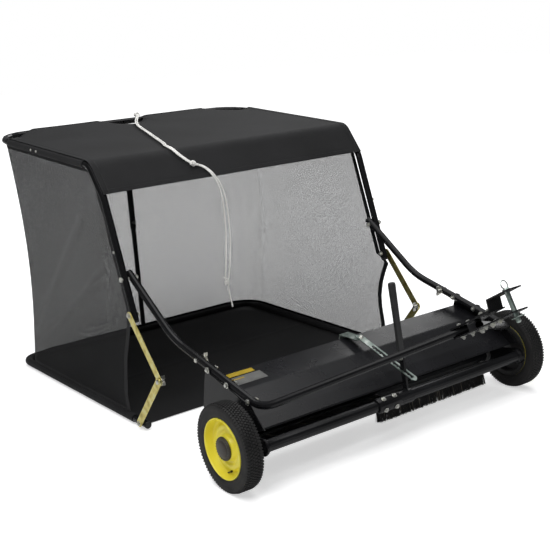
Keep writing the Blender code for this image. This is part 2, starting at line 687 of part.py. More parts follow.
def brush():
    end = 0.6022
    core = BRUSH_HALF
    profile = [(-end, 0.0105), (-end + 0.0025, 0.0105), (-end + 0.0025, SHAFT_R), (-core, SHAFT_R), (-core, CORE_R),
               (core, CORE_R), (core, SHAFT_R), (end - 0.0025, SHAFT_R), (end - 0.0025, 0.0105), (end, 0.0105)]
    bm = bmesh.new()
    turned(bm, BRUSH, (1, 0, 0), profile, SIDES)
    add_object("brush_shaft", bm, BLACK_PAINT, "brush", smooth=True)
    length = BRUSH_HALF - 0.012
    for side, sign, turn in (("left", -1, 0.0), ("right", 1, math.pi / ROWS)):
        outline = []
        for row in range(ROWS):
            angle = turn - math.radians(5) + 2 * math.pi * row / ROWS
            base = CORE_R + 0.003
            for spread, radius in ((-1.36, base), (-0.95, base), (-0.42, base), (-0.085, BRUSH_R), (0.085, BRUSH_R),
                                   (0.42, base), (0.95, base), (1.36, base)):
                outline.append((BRUSH.y + radius * math.cos(angle + spread),
                                BRUSH.z + radius * math.sin(angle + spread)))
        sideways_plate("bristles_" + side, outline, [(BRUSH.y, BRUSH.z, CORE_R + GAP)], 0.006, length, sign,
                       BRISTLE, "brush")


# ---------------------------------------------------------------- hopper frame
BACK_JOINT = 1.250             # where a side tube meets the rear tube


def top_height(y):
    share = (y - TOP_FRONT.y) / (HOPPER_BACK - TOP_FRONT.y)
    return TOP_FRONT.z + share * (TOP_REAR_Z - TOP_FRONT.z)


def upright_y(z):
    share = (z - UPRIGHT_END.z) / (UPRIGHT_KINK.z - UPRIGHT_END.z)
    return UPRIGHT_END.y + share * (UPRIGHT_KINK.y - UPRIGHT_END.y)


def upright_path():
    joint = Vector((HOPPER_X, BACK_JOINT - GAP, top_height(BACK_JOINT)))
    lower = rounded((UPRIGHT_END, UPRIGHT_KINK, TOP_FRONT), 0.080, 2)
    return lower[:-1] + rounded((lower[-2], TOP_FRONT, joint), 0.045, 4)[1:]


def hopper_tubes():
    path = upright_path()
    for side, sign in (("left", -1), ("right", 1)):
        bm = bmesh.new()
        sweep_tube(bm, mirrored(path, sign), TUBE_R, TUBE_WALL)
        tube = add_object("hopper_upright_" + side, bm, BLACK_PAINT, "hopper", smooth=True)
        drill(tube, [((sign * HOPPER_X, PIVOT.y, PIVOT.z), (1, 0, 0), 0.0055, 0.06),
                     ((sign * HOPPER_X, KNEE_TOP.y, KNEE_TOP.z), (1, 0, 0), 0.0045, 0.06)])
    joint = Vector((HOPPER_X, BACK_JOINT, top_height(BACK_JOINT)))
    corner = Vector((HOPPER_X, HOPPER_BACK, TOP_REAR_Z))
    bm = bmesh.new()
    route = [mirrored([joint], -1)[0], mirrored([corner], -1)[0], corner, joint]
    sweep_tube(bm, rounded(route, CORNER_R, 5), TUBE_R, TUBE_WALL)
    rear = add_object("hopper_top_tube", bm, BLACK_PAINT, "hopper", smooth=True)
    drill(rear, [((0, HOPPER_BACK, TOP_REAR_Z), (0, 1, 0), 0.0045, 0.06)])


def pivot_bolts():
    """Bolts through each upright and its arm: the hopper tips on them."""
    for side, sign in (("left", -1), ("right", 1)):
        bm = bmesh.new()
        outside = Vector((sign * (HOPPER_X + TUBE_R), PIVOT.y, PIVOT.z))
        grip = HOPPER_X - TOW_X + 2 * TUBE_R + 0.0006
        bolt(bm, outside, (-sign, 0, 0), grip, 0.005, 0.0092, 0.006)
        add_object("pivot_bolt_" + side, bm, BOLT_ZINC, "hopper")


POST_UPPER_R = 0.0125
POST_LOWER_R = 0.0100
POST_Y = HOPPER_BACK
POST_SPLIT = 0.470


def rear_post():
    """Two telescoping tubes that hold the floor below the rear top tube."""
    top = TOP_REAR_Z - TUBE_R - GAP - 0.002
    bm = bmesh.new()
    sweep_tube(bm, [Vector((0, POST_Y, POST_SPLIT)), Vector((0, POST_Y, top))], POST_UPPER_R, 0.0020)
    add_object("rear_post_upper", bm, BLACK_PAINT, "hopper", smooth=True)
    bm = bmesh.new()
    low = FLOOR_Z + TUBE_R + GAP + 0.002
    sweep_tube(bm, [Vector((0, POST_Y, low)), Vector((0, POST_Y, POST_SPLIT + 0.150))], POST_LOWER_R, 0.0016)
    add_object("rear_post_lower", bm, BLACK_PAINT, "hopper_floor", smooth=True)


def floor_frame():
    front = Vector((HOPPER_X, FLOOR_FRONT, FLOOR_Z))
    corner = Vector((HOPPER_X, HOPPER_BACK, FLOOR_Z))
    route = [mirrored([front], -1)[0], mirrored([corner], -1)[0], corner, front]
    bm = bmesh.new()
    sweep_tube(bm, rounded(route, 0.060, 4), TUBE_R, TUBE_WALL)
    add_object("floor_frame", bm, BLACK_PAINT, "hopper_floor", smooth=True)


# ---------------------------------------------------------------- knees
LINK_THICK = 0.003
UPPER_LINK_X = 0.5745
LOWER_LINK_X = 0.5800


def link_outline(start, end, overhang=0.014):
    """A long strap with round ends, in (y, z)."""
    way = math.atan2(end.z - start.z, end.y - start.y)
    outline = []
    for centre, first in ((end, way - math.pi / 2), (start, way + math.pi / 2)):
        for step in range(6):
            angle = first + math.pi * step / 5
            outline.append((centre.y + overhang * math.cos(angle), centre.z + overhang * math.sin(angle)))
    return outline


def knees():
    for side, sign in (("left", -1), ("right", 1)):
        sideways_plate("knee_link_upper_" + side, link_outline(KNEE_TOP, KNEE),
                       [(KNEE_TOP.y, KNEE_TOP.z, 0.0045), (KNEE.y, KNEE.z, 0.0115)], UPPER_LINK_X, LINK_THICK,
                       sign, YELLOW_ZINC, "upper_knee_" + side)
        sideways_plate("knee_link_lower_" + side, link_outline(KNEE_LOW, KNEE),
                       [(KNEE_LOW.y, KNEE_LOW.z, 0.0045), (KNEE.y, KNEE.z, 0.0045)], LOWER_LINK_X, LINK_THICK,
                       sign, YELLOW_ZINC, "lower_knee_" + side)
        outer = Vector((sign * (LOWER_LINK_X + LINK_THICK), KNEE.y, KNEE.z))
        grip = LOWER_LINK_X + LINK_THICK - UPPER_LINK_X + 2 * GAP
        bm = bmesh.new()
        bolt(bm, outer, (-sign, 0, 0), grip + 0.005, 0.004, 0.0085, 0.0050, nut=False)
        knee_bolt = add_object("knee_bolt_" + side, bm, BOLT_ZINC, "lower_knee_" + side)
        wing_nut(knee_bolt, outer - Vector((sign * grip, 0, 0)), (-sign, 0, 0))


# ---------------------------------------------------------------- fabric
def thick_sheet(name, bm, mat, body, offset):
    """A surface given the fabric's thickness by a Solidify modifier."""
    bmesh.ops.recalc_face_normals(bm, faces=bm.faces)
    obj = add_object(name, bm, mat, body)
    solid = obj.modifiers.new("thickness", "SOLIDIFY")
    solid.thickness = SHEET
    solid.offset = offset
    solid.use_even_offset = True
    return obj


def canopy():
    """The top sheet over the frame, with its front flap and the half-moon cuts at the rear tube."""
    lift = TUBE_R + SHEET + 0.0015
    normal_front = Vector((0, -(TOP_FRONT.z - UPRIGHT_KINK.z), TOP_FRONT.y - UPRIGHT_KINK.y)).normalized()
    shift = Vector((0, 0, lift))
    centre_shift = (normal_front + Vector((0, 0, 1))).normalized()
    spread = lift / centre_shift.dot(Vector((0, 0, 1)))
    corner = TOP_FRONT + centre_shift * spread
    front = UPRIGHT_KINK + normal_front * lift
    rear = Vector((HOPPER_X, HOPPER_BACK, TOP_REAR_Z)) + shift
    stations = rounded((front, corner, rear), 0.045 + lift, 4)
    half = HOPPER_X + 0.006
    bm = bmesh.new()
    rows = []
    for point in stations[:-1]:
        rows.append([bm.verts.new((-half, point.y, point.z)), bm.verts.new((half, point.y, point.z))])
    for first, second in zip(rows, rows[1:]):
        bm.faces.new((first[0], first[1], second[1], second[0]))
    slope = (rear.z - corner.z) / (rear.y - corner.y)
    start = stations[-2]
    edge = HOPPER_BACK + 0.002
    outline = []
    for step in range(5):
        angle = math.pi / 2 * step / 4
        outline.append((half - CORNER_R + CORNER_R * math.cos(angle), edge - CORNER_R + CORNER_R * math.sin(angle)))
    moon_r = 0.085
    moon_deep = 0.085
    moon = [(moon_r * math.cos(math.pi * k / 6), edge - moon_deep * math.sin(math.pi * k / 6)) for k in range(7)]
    outline += moon
    outline += [(-x, y) for x, y in outline[:5][::-1]]
    verts = [bm.verts.new((x, y, start.z + (y - start.y) * slope)) for x, y in outline]
    loop = [rows[-1][1]] + verts + [rows[-1][0]]
    edges = []
    for first, second in zip(loop, loop[1:]):
        edges.append(bm.edges.new((first, second)))
    edges.append(bm.edges.get((rows[-1][0], rows[-1][1])))
    bmesh.ops.triangle_fill(bm, edges=edges, use_beauty=True, use_dissolve=False)
    return thick_sheet("canopy", bm, CANOPY_FABRIC, "hopper", -1)


def mesh_walls():
    inset = TUBE_R + 0.0015
    low = FLOOR_Z + TUBE_R + 0.002
    front = [(upright_y(0.440) + inset + 0.006, 0.440), (upright_y(0.780) + inset + 0.004, 0.780),
             (TOP_FRONT.y + 0.018, top_height(TOP_FRONT.y) - inset - 0.006)]
    curves = {"left": [(0.728, low), (0.738, 0.100), (0.712, 0.244), (0.676, 0.340)],
              "right": [(0.645, low), (0.633, 0.118), (0.630, 0.258), (0.630, 0.340)]}
    edge_y = HOPPER_BACK - CORNER_R - 0.002
    for side, sign in (("left", -1), ("right", 1)):
        outline = curves[side] + front + [(edge_y, top_height(edge_y) - inset), (edge_y, low)]
        sideways_plate("mesh_wall_" + side, outline, [], HOPPER_X - SHEET / 2, SHEET, sign, MESH_FABRIC, "hopper")
    bm = bmesh.new()
    rows = []
    inner_back = HOPPER_BACK - TUBE_R - 0.0035
    reach = HOPPER_X - SHEET / 2
    for z, radius in ((low, 0.120), (TOP_REAR_Z - inset - 0.006, 0.125)):
        corners = [(-reach, edge_y + 0.002, z), (-reach, inner_back, z), (reach, inner_back, z),
                   (reach, edge_y + 0.002, z)]
        path = rounded(corners, min(radius, inner_back - edge_y - 0.004), 5)
        rows.append([bm.verts.new(p) for p in path])
    for index in range(len(rows[0]) - 1):
        bm.faces.new((rows[0][index], rows[0][index + 1], rows[1][index + 1], rows[1][index]))
    thick_sheet("mesh_wall_rear", bm, MESH_FABRIC, "hopper", 0)
    reach = HOPPER_X + 0.006
    bm = bmesh.new()
    floor = [(-reach, 0.655), (reach, 0.655), (reach, HOPPER_BACK - 0.050), (reach - 0.060, HOPPER_BACK + 0.006),
             (-reach + 0.060, HOPPER_BACK + 0.006), (-reach, HOPPER_BACK - 0.050)]
    plate(bm, floor, [], 0.004)
    add_object("hopper_floor_panel", bm, CANOPY_FABRIC, "hopper_floor", place=(0, 0, 0.0005))


# ---------------------------------------------------------------- dump rope
ROPE_R = 0.0030
ROPE_TIE = Vector((0.045, HOPPER_BACK - 0.050, TOP_REAR_Z + 0.0300))
FLAP_LIFT = TUBE_R + SHEET + 0.0015 + 0.0050


def flap_point(x, down):
    """A point just outside the canopy's front flap, measured down the flap from its bend."""
    along = (UPRIGHT_KINK - TOP_FRONT).normalized()
    outward = Vector((0, along.z, -along.y))
    spot = TOP_FRONT + along * down + outward * FLAP_LIFT
    return Vector((x, spot.y, spot.z))


def bend_point(x):
    """Just outside the rounded bend between the top and the flap."""
    along = (UPRIGHT_KINK - TOP_FRONT).normalized()
    outward = (Vector((0, along.z, -along.y)) + Vector((0, 0, 1))).normalized()
    spot = TOP_FRONT + outward * (FLAP_LIFT - 0.0035)
    return Vector((x, spot.y, spot.z))


def top_point(x, y):
    return Vector((x, y, top_height(y) + FLAP_LIFT))


def dump_rope():
    """The pull rope: from its knot at the post, over the canopy and the flap, then hanging in front."""
    edge = flap_point(-0.132, 0.126)
    route = [ROPE_TIE + Vector((0, -0.012, 0)), top_point(-0.055, 1.412), top_point(-0.144, 1.151),
             top_point(-0.212, 0.940), top_point(-0.236, 0.880), bend_point(-0.240), flap_point(-0.222, 0.030),
             flap_point(-0.192, 0.066), flap_point(-0.160, 0.082), flap_point(-0.142, 0.102), edge]
    for x, drop in ((-0.112, 0.040), (-0.098, 0.100), (-0.094, 0.220), (-0.104, 0.330), (-0.117, 0.420),
                    (-0.104, 0.500)):
        route.append(Vector((x, edge.y - 0.006, edge.z - drop)))
    build_rope("dump_rope", route, 60)
    bm = bmesh.new()
    bmesh.ops.create_icosphere(bm, subdivisions=2, radius=0.0095, matrix=Matrix.Translation(ROPE_TIE))
    add_object("rope_knot", bm, ROPE_WHITE, "hopper", smooth=True)


def smooth_route(points, count):
    """A Catmull-Rom curve through the route points."""
    padded = [points[0] * 2 - points[1]] + points + [points[-1] * 2 - points[-2]]
    samples = []
    spans = len(points) - 1
    for index in range(count + 1):
        place = min(index * spans / count, spans - 1e-6)
        span = int(place)
        t = place - span
        a, b, c, d = padded[span:span + 4]
        samples.append(0.5 * (2 * b + (c - a) * t + (2 * a - 5 * b + 4 * c - d) * t ** 2
                              + (3 * b - a - 3 * c + d) * t ** 3))
    return samples


def build_rope(name, route, count):
    samples = smooth_route(route, count)
    curve = bpy.data.curves.new(name, "CURVE")
    curve.dimensions = "3D"
    spline = curve.splines.new("POLY")
    spline.points.add(len(samples) - 1)
    for point, place in zip(spline.points, samples):
        point.co = (*place, 1)
    curve.bevel_depth = ROPE_R
    curve.bevel_resolution = 2
    curve.use_fill_caps = True
    curve.materials.append(ROPE_WHITE)
    obj = bpy.data.objects.new(name, curve)
    bpy.context.scene.collection.objects.link(obj)
    empty, empty_place = PIVOTS["hopper"]
    obj.parent = empty
    obj.location = -empty_place


side_plates()
housing_cover()
brush_bearings()
tow_tubes()
arm_bolts()
hitch()
hitch_pin()
hopper_arms()
height_strap()
height_bracket()
cross_tube()
swing_plates()
height_lever()
wheels()
brush()
hopper_tubes()
pivot_bolts()
rear_post()
floor_frame()
knees()
canopy()
mesh_walls()
dump_rope()
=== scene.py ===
"""Looks for the tow-behind lawn sweeper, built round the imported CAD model. Metres, +Z up, hitch at -Y.

Places are given in bench coordinates, where the wheel axle is at y = 0, and moved by MACHINE_Y.
"""
import math
import random

import bmesh
import bpy
from mathutils import Matrix, Vector, noise


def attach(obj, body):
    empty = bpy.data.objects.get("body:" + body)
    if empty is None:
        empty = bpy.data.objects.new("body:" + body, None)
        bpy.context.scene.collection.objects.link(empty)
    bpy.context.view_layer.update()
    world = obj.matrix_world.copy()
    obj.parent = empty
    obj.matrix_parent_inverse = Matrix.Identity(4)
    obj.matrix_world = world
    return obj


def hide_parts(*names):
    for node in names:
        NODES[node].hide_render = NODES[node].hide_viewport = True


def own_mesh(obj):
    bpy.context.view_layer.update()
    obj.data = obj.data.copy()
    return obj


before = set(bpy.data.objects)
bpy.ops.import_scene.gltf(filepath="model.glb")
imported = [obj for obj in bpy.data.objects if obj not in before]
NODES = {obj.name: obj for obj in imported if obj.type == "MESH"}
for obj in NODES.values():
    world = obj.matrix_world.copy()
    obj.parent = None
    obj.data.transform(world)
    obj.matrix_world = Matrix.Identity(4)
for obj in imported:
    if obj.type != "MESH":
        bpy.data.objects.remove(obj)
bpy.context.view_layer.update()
MACHINE_Y = -0.5148
SHIFT = Vector((0, MACHINE_Y, 0))
BENCH = Matrix.Translation(SHIFT)

# ---- camera
YAW = 0.6922
PITCH = 0.267
ROLL = -0.0473
EYE = (-2.227, -2.6287, 1.4548)
forward = Vector((math.sin(YAW) * math.cos(PITCH), math.cos(YAW) * math.cos(PITCH), -math.sin(PITCH)))
level = Vector((math.cos(YAW), -math.sin(YAW), 0))
upright = level.cross(forward)
right = math.cos(ROLL) * level + math.sin(ROLL) * upright
above = -math.sin(ROLL) * level + math.cos(ROLL) * upright
camera = bpy.data.objects.new("camera", bpy.data.cameras.new("camera"))
bpy.context.scene.collection.objects.link(camera)
facing = Matrix((right, above, -forward)).transposed()
camera.matrix_world = Matrix.Translation((EYE[0], EYE[1] + MACHINE_Y, EYE[2])) @ facing.to_4x4()
camera.data.sensor_width = 36
camera.data.lens = 72.23
camera.data.shift_x = -0.170
camera.data.shift_y = 0.018
bpy.context.scene.camera = camera

# ---- CAD dimensions that pieces follow
WHEEL_R = 0.140
AXLE = Vector((0, 0, WHEEL_R))
RIM_R = 0.0965
GEAR_ANGLE = math.radians(-18.7)
BRUSH = AXLE + 0.0625 * Vector((0, math.cos(GEAR_ANGLE), math.sin(GEAR_ANGLE)))
BRUSH_R = 0.108
HOUSING_X = 0.5458
SIDE_PLATE = 0.003
CROSS = Vector((0, -0.090, 0.146))
TUBE_R = 0.0125
TOW_X = 0.533
TOW_REACH = 0.431
TOW_BEND = Vector((TOW_X, -0.064, 0.255))
TOW_SLOPE = math.radians(12.9)
HITCH_RISE = math.radians(29.6)
HOPPER_X = 0.559
HOPPER_BACK = 1.640
TOP_FRONT = Vector((HOPPER_X, 0.838, 0.900))
TOP_REAR_Z = 0.935
UPRIGHT_KINK = Vector((HOPPER_X, 0.757, 0.800))
UPRIGHT_END = Vector((HOPPER_X, 0.622, 0.392))
FLOOR_Z = 0.0175
LIFT = TUBE_R + 0.0030
SIDES = (("left", -1), ("right", 1))


def tow_height(y):
    return TOW_BEND.z + (y - TOW_BEND.y) * math.tan(TOW_SLOPE)


def hitch_point(x, ahead, up):
    along = Vector((0, -math.cos(HITCH_RISE), math.sin(HITCH_RISE)))
    square = Vector((0, math.sin(HITCH_RISE), math.cos(HITCH_RISE)))
    return Vector((x, TOW_BEND.y, TOW_BEND.z)) + ahead * along + up * square


def top_height(y):
    share = (y - TOP_FRONT.y) / (HOPPER_BACK - TOP_FRONT.y)
    return TOP_FRONT.z + share * (TOP_REAR_Z - TOP_FRONT.z)


def upright_y(z):
    share = (z - UPRIGHT_END.z) / (UPRIGHT_KINK.z - UPRIGHT_END.z)
    return UPRIGHT_END.y + share * (UPRIGHT_KINK.y - UPRIGHT_END.y)


# ---- materials
class Surface:
    """A Principled material with small helpers that add nodes to it."""

    def __init__(self, name, roughness=0.5, metallic=0.0):
        self.mat = bpy.data.materials.new(name)
        self.mat.use_nodes = True
        self.tree = self.mat.node_tree
        self.shader = self.tree.nodes["Principled BSDF"]
        self.shader.inputs["Roughness"].default_value = roughness
        self.shader.inputs["Metallic"].default_value = metallic
        self.coords = self.tree.nodes.new("ShaderNodeTexCoord")

    def node(self, kind, **settings):
        made = self.tree.nodes.new(kind)
        for key, value in settings.items():
            setattr(made, key, value)
        return made

    def link(self, source, target):
        self.tree.links.new(source, target)

    def noise(self, scale, detail=3.0, stretch=(1, 1, 1)):
        mapping = self.node("ShaderNodeMapping")
        mapping.inputs["Scale"].default_value = stretch
        self.link(self.coords.outputs["Object"], mapping.inputs["Vector"])
        made = self.node("ShaderNodeTexNoise")
        made.inputs["Scale"].default_value = scale
        made.inputs["Detail"].default_value = detail
        self.link(mapping.outputs["Vector"], made.inputs["Vector"])
        return made.outputs["Fac"]

    def math(self, operation, first, second=0.0):
        made = self.node("ShaderNodeMath", operation=operation)
        for socket, value in zip(made.inputs, (first, second)):
            if isinstance(value, (int, float)):
                socket.default_value = value
            else:
                self.link(value, socket)
        return made.outputs[0]

    def ramp(self, fac, *stops):
        made = self.node("ShaderNodeValToRGB")
        elements = made.color_ramp.elements
        while len(elements) < len(stops):
            elements.new(0.5)
        for element, (place, colour) in zip(elements, stops):
            element.position = place
            element.color = (*colour, 1)
        self.link(fac, made.inputs["Fac"])
        return made.outputs["Color"]

    def colour(self, fac, *stops):
        self.link(self.ramp(fac, *stops), self.shader.inputs["Base Color"])

    def rough(self, fac, low, high):
        made = self.node("ShaderNodeMapRange")
        made.inputs["To Min"].default_value = low
        made.inputs["To Max"].default_value = high
        self.link(fac, made.inputs["Value"])
        self.link(made.outputs["Result"], self.shader.inputs["Roughness"])

    def bump(self, height, strength, distance):
        made = self.node("ShaderNodeBump")
        made.inputs["Strength"].default_value = strength
        made.inputs["Distance"].default_value = distance
        self.link(height, made.inputs["Height"])
        self.link(made.outputs["Normal"], self.shader.inputs["Normal"])

    def set(self, **values):
        for key, value in values.items():
            self.shader.inputs[key.replace("_", " ")].default_value = value
        return self.mat


def paint(name, dark, light, low, high, peel):
    """Powder coat: faint orange peel, a little dust and slightly uneven gloss."""
    made = Surface(name)
    made.colour(made.noise(5.0, 4.0), (0.35, dark), (0.62, light), (0.80, [c * 1.6 for c in light]))
    made.rough(made.noise(11.0, 5.0), low, high)
    made.bump(made.noise(420.0, 1.0), peel, 0.0004)
    return made.set(Specular_IOR_Level=0.20, Coat_Weight=0.05, Coat_Roughness=0.25)


def plated(name, tones, low, high, stretch=(1, 1, 1)):
    """Zinc plate: cloudy colour, fine rolling marks and dull patches."""
    made = Surface(name, metallic=1.0)
    made.colour(made.noise(38.0, 5.0), *zip((0.30, 0.50, 0.70), tones))
    made.rough(made.noise(90.0, 4.0), low, high)
    made.bump(made.noise(260.0, 2.0, stretch), 0.10, 0.0003)
    return made.mat


def moulded(name, dark, light, low, high, grain=350.0, strength=0.12):
    made = Surface(name)
    made.colour(made.noise(16.0, 4.0), (0.35, dark), (0.65, light))
    made.rough(made.noise(30.0, 4.0), low, high)
    made.bump(made.noise(grain, 2.0), strength, 0.0005)
    return made.mat


def woven(name, dark, light, pitch, roughness, sheen):
    """Plain-weave cloth from crossed sine threads, with slow colour drift."""
    made = Surface(name, roughness=roughness)
    split = made.node("ShaderNodeSeparateXYZ")
    made.link(made.coords.outputs["Object"], split.inputs[0])
    rate = math.pi / pitch
    across = made.math("SINE", made.math("MULTIPLY", split.outputs[0], rate))
    depth = made.math("ADD", split.outputs[1], split.outputs[2])
    along = made.math("SINE", made.math("MULTIPLY", depth, rate))
    weave = made.math("MULTIPLY", across, along)
    drift = made.math("MULTIPLY", made.noise(4.0, 5.0), 1.2)
    mixed = made.math("ADD", made.math("MULTIPLY", weave, 0.18), drift)
    made.colour(mixed, (0.35, dark), (0.80, light))
    made.bump(weave, 0.25, 0.0004)
    return made.set(Sheen_Weight=sheen, Sheen_Roughness=0.5, Specular_IOR_Level=0.30)


def open_mesh(name):
    """Woven netting with square holes; its UVs are metres along and up the cloth."""
    made = Surface(name, roughness=0.75)
    split = made.node("ShaderNodeSeparateXYZ")
    made.link(made.coords.outputs["UV"], split.inputs[0])
    holes = []
    threads = []
    for axis in (0, 1):
        cell = made.math("FRACT", made.math("MULTIPLY", split.outputs[axis], 1 / 0.0024))
        off = made.math("ABSOLUTE", made.math("SUBTRACT", cell, 0.5))
        holes.append(made.math("LESS_THAN", off, 0.245))
        threads.append(off)
    hole = made.math("MULTIPLY", *holes)
    made.link(made.math("SUBTRACT", 1.0, hole), made.shader.inputs["Alpha"])
    made.colour(made.noise(6.0, 4.0), (0.35, (0.004, 0.004, 0.0045)), (0.70, (0.009, 0.009, 0.010)))
    made.bump(made.math("MAXIMUM", *threads), 0.5, 0.0006)
    return made.set(Specular_IOR_Level=0.25)


# a name that the CAD model already uses gets a suffix, so keys are the part before it
MATS = {made.name.split(".")[0]: made for made in (
    paint("black_powder_coat", (0.005, 0.005, 0.0055), (0.008, 0.008, 0.009), 0.16, 0.30, 0.06),
    paint("black_gloss_paint", (0.006, 0.006, 0.007), (0.009, 0.009, 0.0105), 0.22, 0.34, 0.03),
    moulded("yellow_rim_plastic", (0.93, 0.80, 0.050), (0.97, 0.87, 0.085), 0.30, 0.42),
    moulded("tyre_rubber", (0.005, 0.005, 0.005), (0.014, 0.013, 0.013), 0.60, 0.82, 260.0, 0.30),
    moulded("hub_cap_plastic", (0.030, 0.025, 0.021), (0.052, 0.044, 0.037), 0.38, 0.52),
    moulded("gear_plastic", (0.014, 0.014, 0.014), (0.030, 0.030, 0.030), 0.40, 0.55),
    moulded("bristle_nylon", (0.006, 0.006, 0.006), (0.020, 0.019, 0.018), 0.45, 0.65),
    plated("zinc_plate", ((0.14, 0.18, 0.16), (0.30, 0.36, 0.33), (0.62, 0.67, 0.63)), 0.28, 0.48),
    plated("yellow_zinc_plate", ((0.46, 0.38, 0.10), (0.72, 0.62, 0.22), (0.74, 0.72, 0.38)), 0.28, 0.48),
    plated("bolt_zinc", ((0.45, 0.45, 0.42), (0.62, 0.62, 0.58), (0.72, 0.70, 0.60)), 0.24, 0.42),
    moulded("grip_vinyl", (0.009, 0.009, 0.009), (0.020, 0.020, 0.021), 0.42, 0.60, 500.0, 0.25),
    woven("canopy_fabric", (0.005, 0.005, 0.0055), (0.011, 0.011, 0.012), 0.0012, 0.80, 0.04),
    open_mesh("mesh_fabric"),
    moulded("rope_white", (0.72, 0.71, 0.68), (0.95, 0.94, 0.91), 0.65, 0.85, 420.0, 0.4),
    moulded("bush_plastic", (0.06, 0.06, 0.06), (0.11, 0.11, 0.11), 0.40, 0.55),
    moulded("label_yellow", (0.72, 0.50, 0.03), (0.82, 0.60, 0.06), 0.30, 0.45, 90.0, 0.05),
    moulded("label_grey", (0.22, 0.22, 0.21), (0.32, 0.32, 0.31), 0.30, 0.45, 90.0, 0.05),
    moulded("bristle_pale", (0.22, 0.20, 0.15), (0.36, 0.33, 0.26), 0.45, 0.65),
    moulded("thread_grey", (0.030, 0.030, 0.032), (0.050, 0.050, 0.052), 0.60, 0.80),
)}
for node in NODES.values():
    for place in node.material_slots:
        place.material = MATS[place.material.name.split(".")[0]]
    node.data.shade_smooth()
    node.data.set_sharp_from_angle(angle=math.radians(35))


# ---- modelling tools
WASHER_TOP = 0.0013


def piece(name, bm, slot, body, sharp=35, closed=True, extra=()):
    """Turns a bench-coordinate bmesh into a piece that rides on a body."""
    if closed:
        bmesh.ops.recalc_face_normals(bm, faces=bm.faces)
    bmesh.ops.transform(bm, matrix=BENCH, verts=bm.verts)
    mesh = bpy.data.meshes.new(name)
    bm.to_mesh(mesh)
    bm.free()
    for key in (slot, *extra):
        mesh.materials.append(MATS[key])
    mesh.shade_smooth()
    mesh.set_sharp_from_angle(angle=math.radians(sharp))
    obj = bpy.data.objects.new(name, mesh)
    bpy.context.scene.collection.objects.link(obj)
    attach(obj, body)
    return obj


def square_axes(direction):
    direction = Vector(direction).normalized()
    helper = Vector((0, 0, 1)) if abs(direction.z) < 0.9 else Vector((0, 1, 0))
    across = direction.cross(helper).normalized()
    return across, direction.cross(across).normalized()


def skin(bm, loops, ends=True, joined=False):
    """Faces between rings of vertices, with flat ends or joined into one round."""
    pairs = list(zip(loops, loops[1:]))
    if joined:
        pairs.append((loops[-1], loops[0]))
    for first, second in pairs:
        for index in range(len(first)):
            after = (index + 1) % len(first)
            bm.faces.new((first[index], first[after], second[after], second[index]))
    if ends and not joined:
        bm.faces.new(loops[0])
        bm.faces.new(loops[-1])


def lathe(bm, start, direction, profile, count, bored=False):
    """Turns (along, radius) points about an axis; a bored one is a closed ring section."""
    direction = Vector(direction).normalized()
    across, up = square_axes(direction)
    loops = []
    for along, radius in profile:
        centre = Vector(start) + along * direction
        loops.append([bm.verts.new(centre + radius * (math.cos(a) * across + math.sin(a) * up))
                      for a in (2 * math.pi * k / count for k in range(count))])
    skin(bm, loops, joined=bored)


def soften(profile, radius):
    """Cuts each corner of a profile into two points, so that smooth shading rounds it."""
    out = [profile[0]]
    for before, corner, after in zip(profile, profile[1:], profile[2:]):
        corner = Vector(corner)
        for other in (before, after):
            way = Vector(other) - corner
            out.append(tuple(corner + way.normalized() * min(radius, way.length * 0.4)))
    return out + [profile[-1]]


def rounded(points, radius, steps=6):
    """A path with an arc at each inner point."""
    points = [Vector(p) for p in points]
    path = [points[0]]
    for before, corner, after in zip(points, points[1:], points[2:]):
        to_before = (before - corner).normalized()
        to_after = (after - corner).normalized()
        half = to_before.angle(to_after) / 2
        centre = corner + (to_before + to_after).normalized() * radius / math.sin(half)
        arm = corner + to_before * radius / math.tan(half) - centre
        axis = to_after.cross(to_before).normalized()
        for step in range(steps + 1):
            path.append(centre + Matrix.Rotation((math.pi - 2 * half) * step / steps, 3, axis) @ arm)
    return path + [points[-1]]


def tube(bm, path, radius, count=16, swell=None):
    """A closed rod along a path. swell(distance, angle) changes its radius, for a braid."""
    across, up = square_axes(path[1] - path[0])
    loops = []
    gone = 0.0
    for index, point in enumerate(path):
        tangent = (path[min(index + 1, len(path) - 1)] - path[max(index - 1, 0)]).normalized()
        across = (across - across.dot(tangent) * tangent).normalized()
        up = tangent.cross(across)
        if index:
            gone += (point - path[index - 1]).length
        loop = []
        for k in range(count):
            angle = 2 * math.pi * k / count
            size = radius * (swell(gone, angle) if swell else 1.0)
            loop.append(bm.verts.new(point + size * (math.cos(angle) * across + math.sin(angle) * up)))
        loops.append(loop)
    skin(bm, loops)


def grid(bm, rows):
    """Faces over rows of places, with UVs in metres along and up."""
    uv = bm.loops.layers.uv.verify()
    made = [[bm.verts.new(p) for p in row] for row in rows]
    spots = {}
    for row, verts in zip(rows, made):
        gone = 0.0
        for index, vert in enumerate(verts):
            if index:
                gone += (row[index] - row[index - 1]).length
            spots[vert] = (gone, row[index].z)
    for first, second in zip(made, made[1:]):
        for index in range(len(first) - 1):
            face = bm.faces.new((first[index], first[index + 1], second[index + 1], second[index]))
            for loop in face.loops:
                loop[uv].uv = spots[loop.vert]
    return made


def resample(path, step):
    """The same path as points about one step apart."""
    lengths = [0.0]
    for first, second in zip(path, path[1:]):
        lengths.append(lengths[-1] + (second - first).length)
    count = max(2, round(lengths[-1] / step))
    out = []
    span = 0
    for k in range(count + 1):
        want = lengths[-1] * k / count
        while span < len(path) - 2 and lengths[span + 1] < want:
            span += 1
        share = (want - lengths[span]) / max(lengths[span + 1] - lengths[span], 1e-9)
        out.append(path[span].lerp(path[span + 1], min(share, 1.0)))
    return out


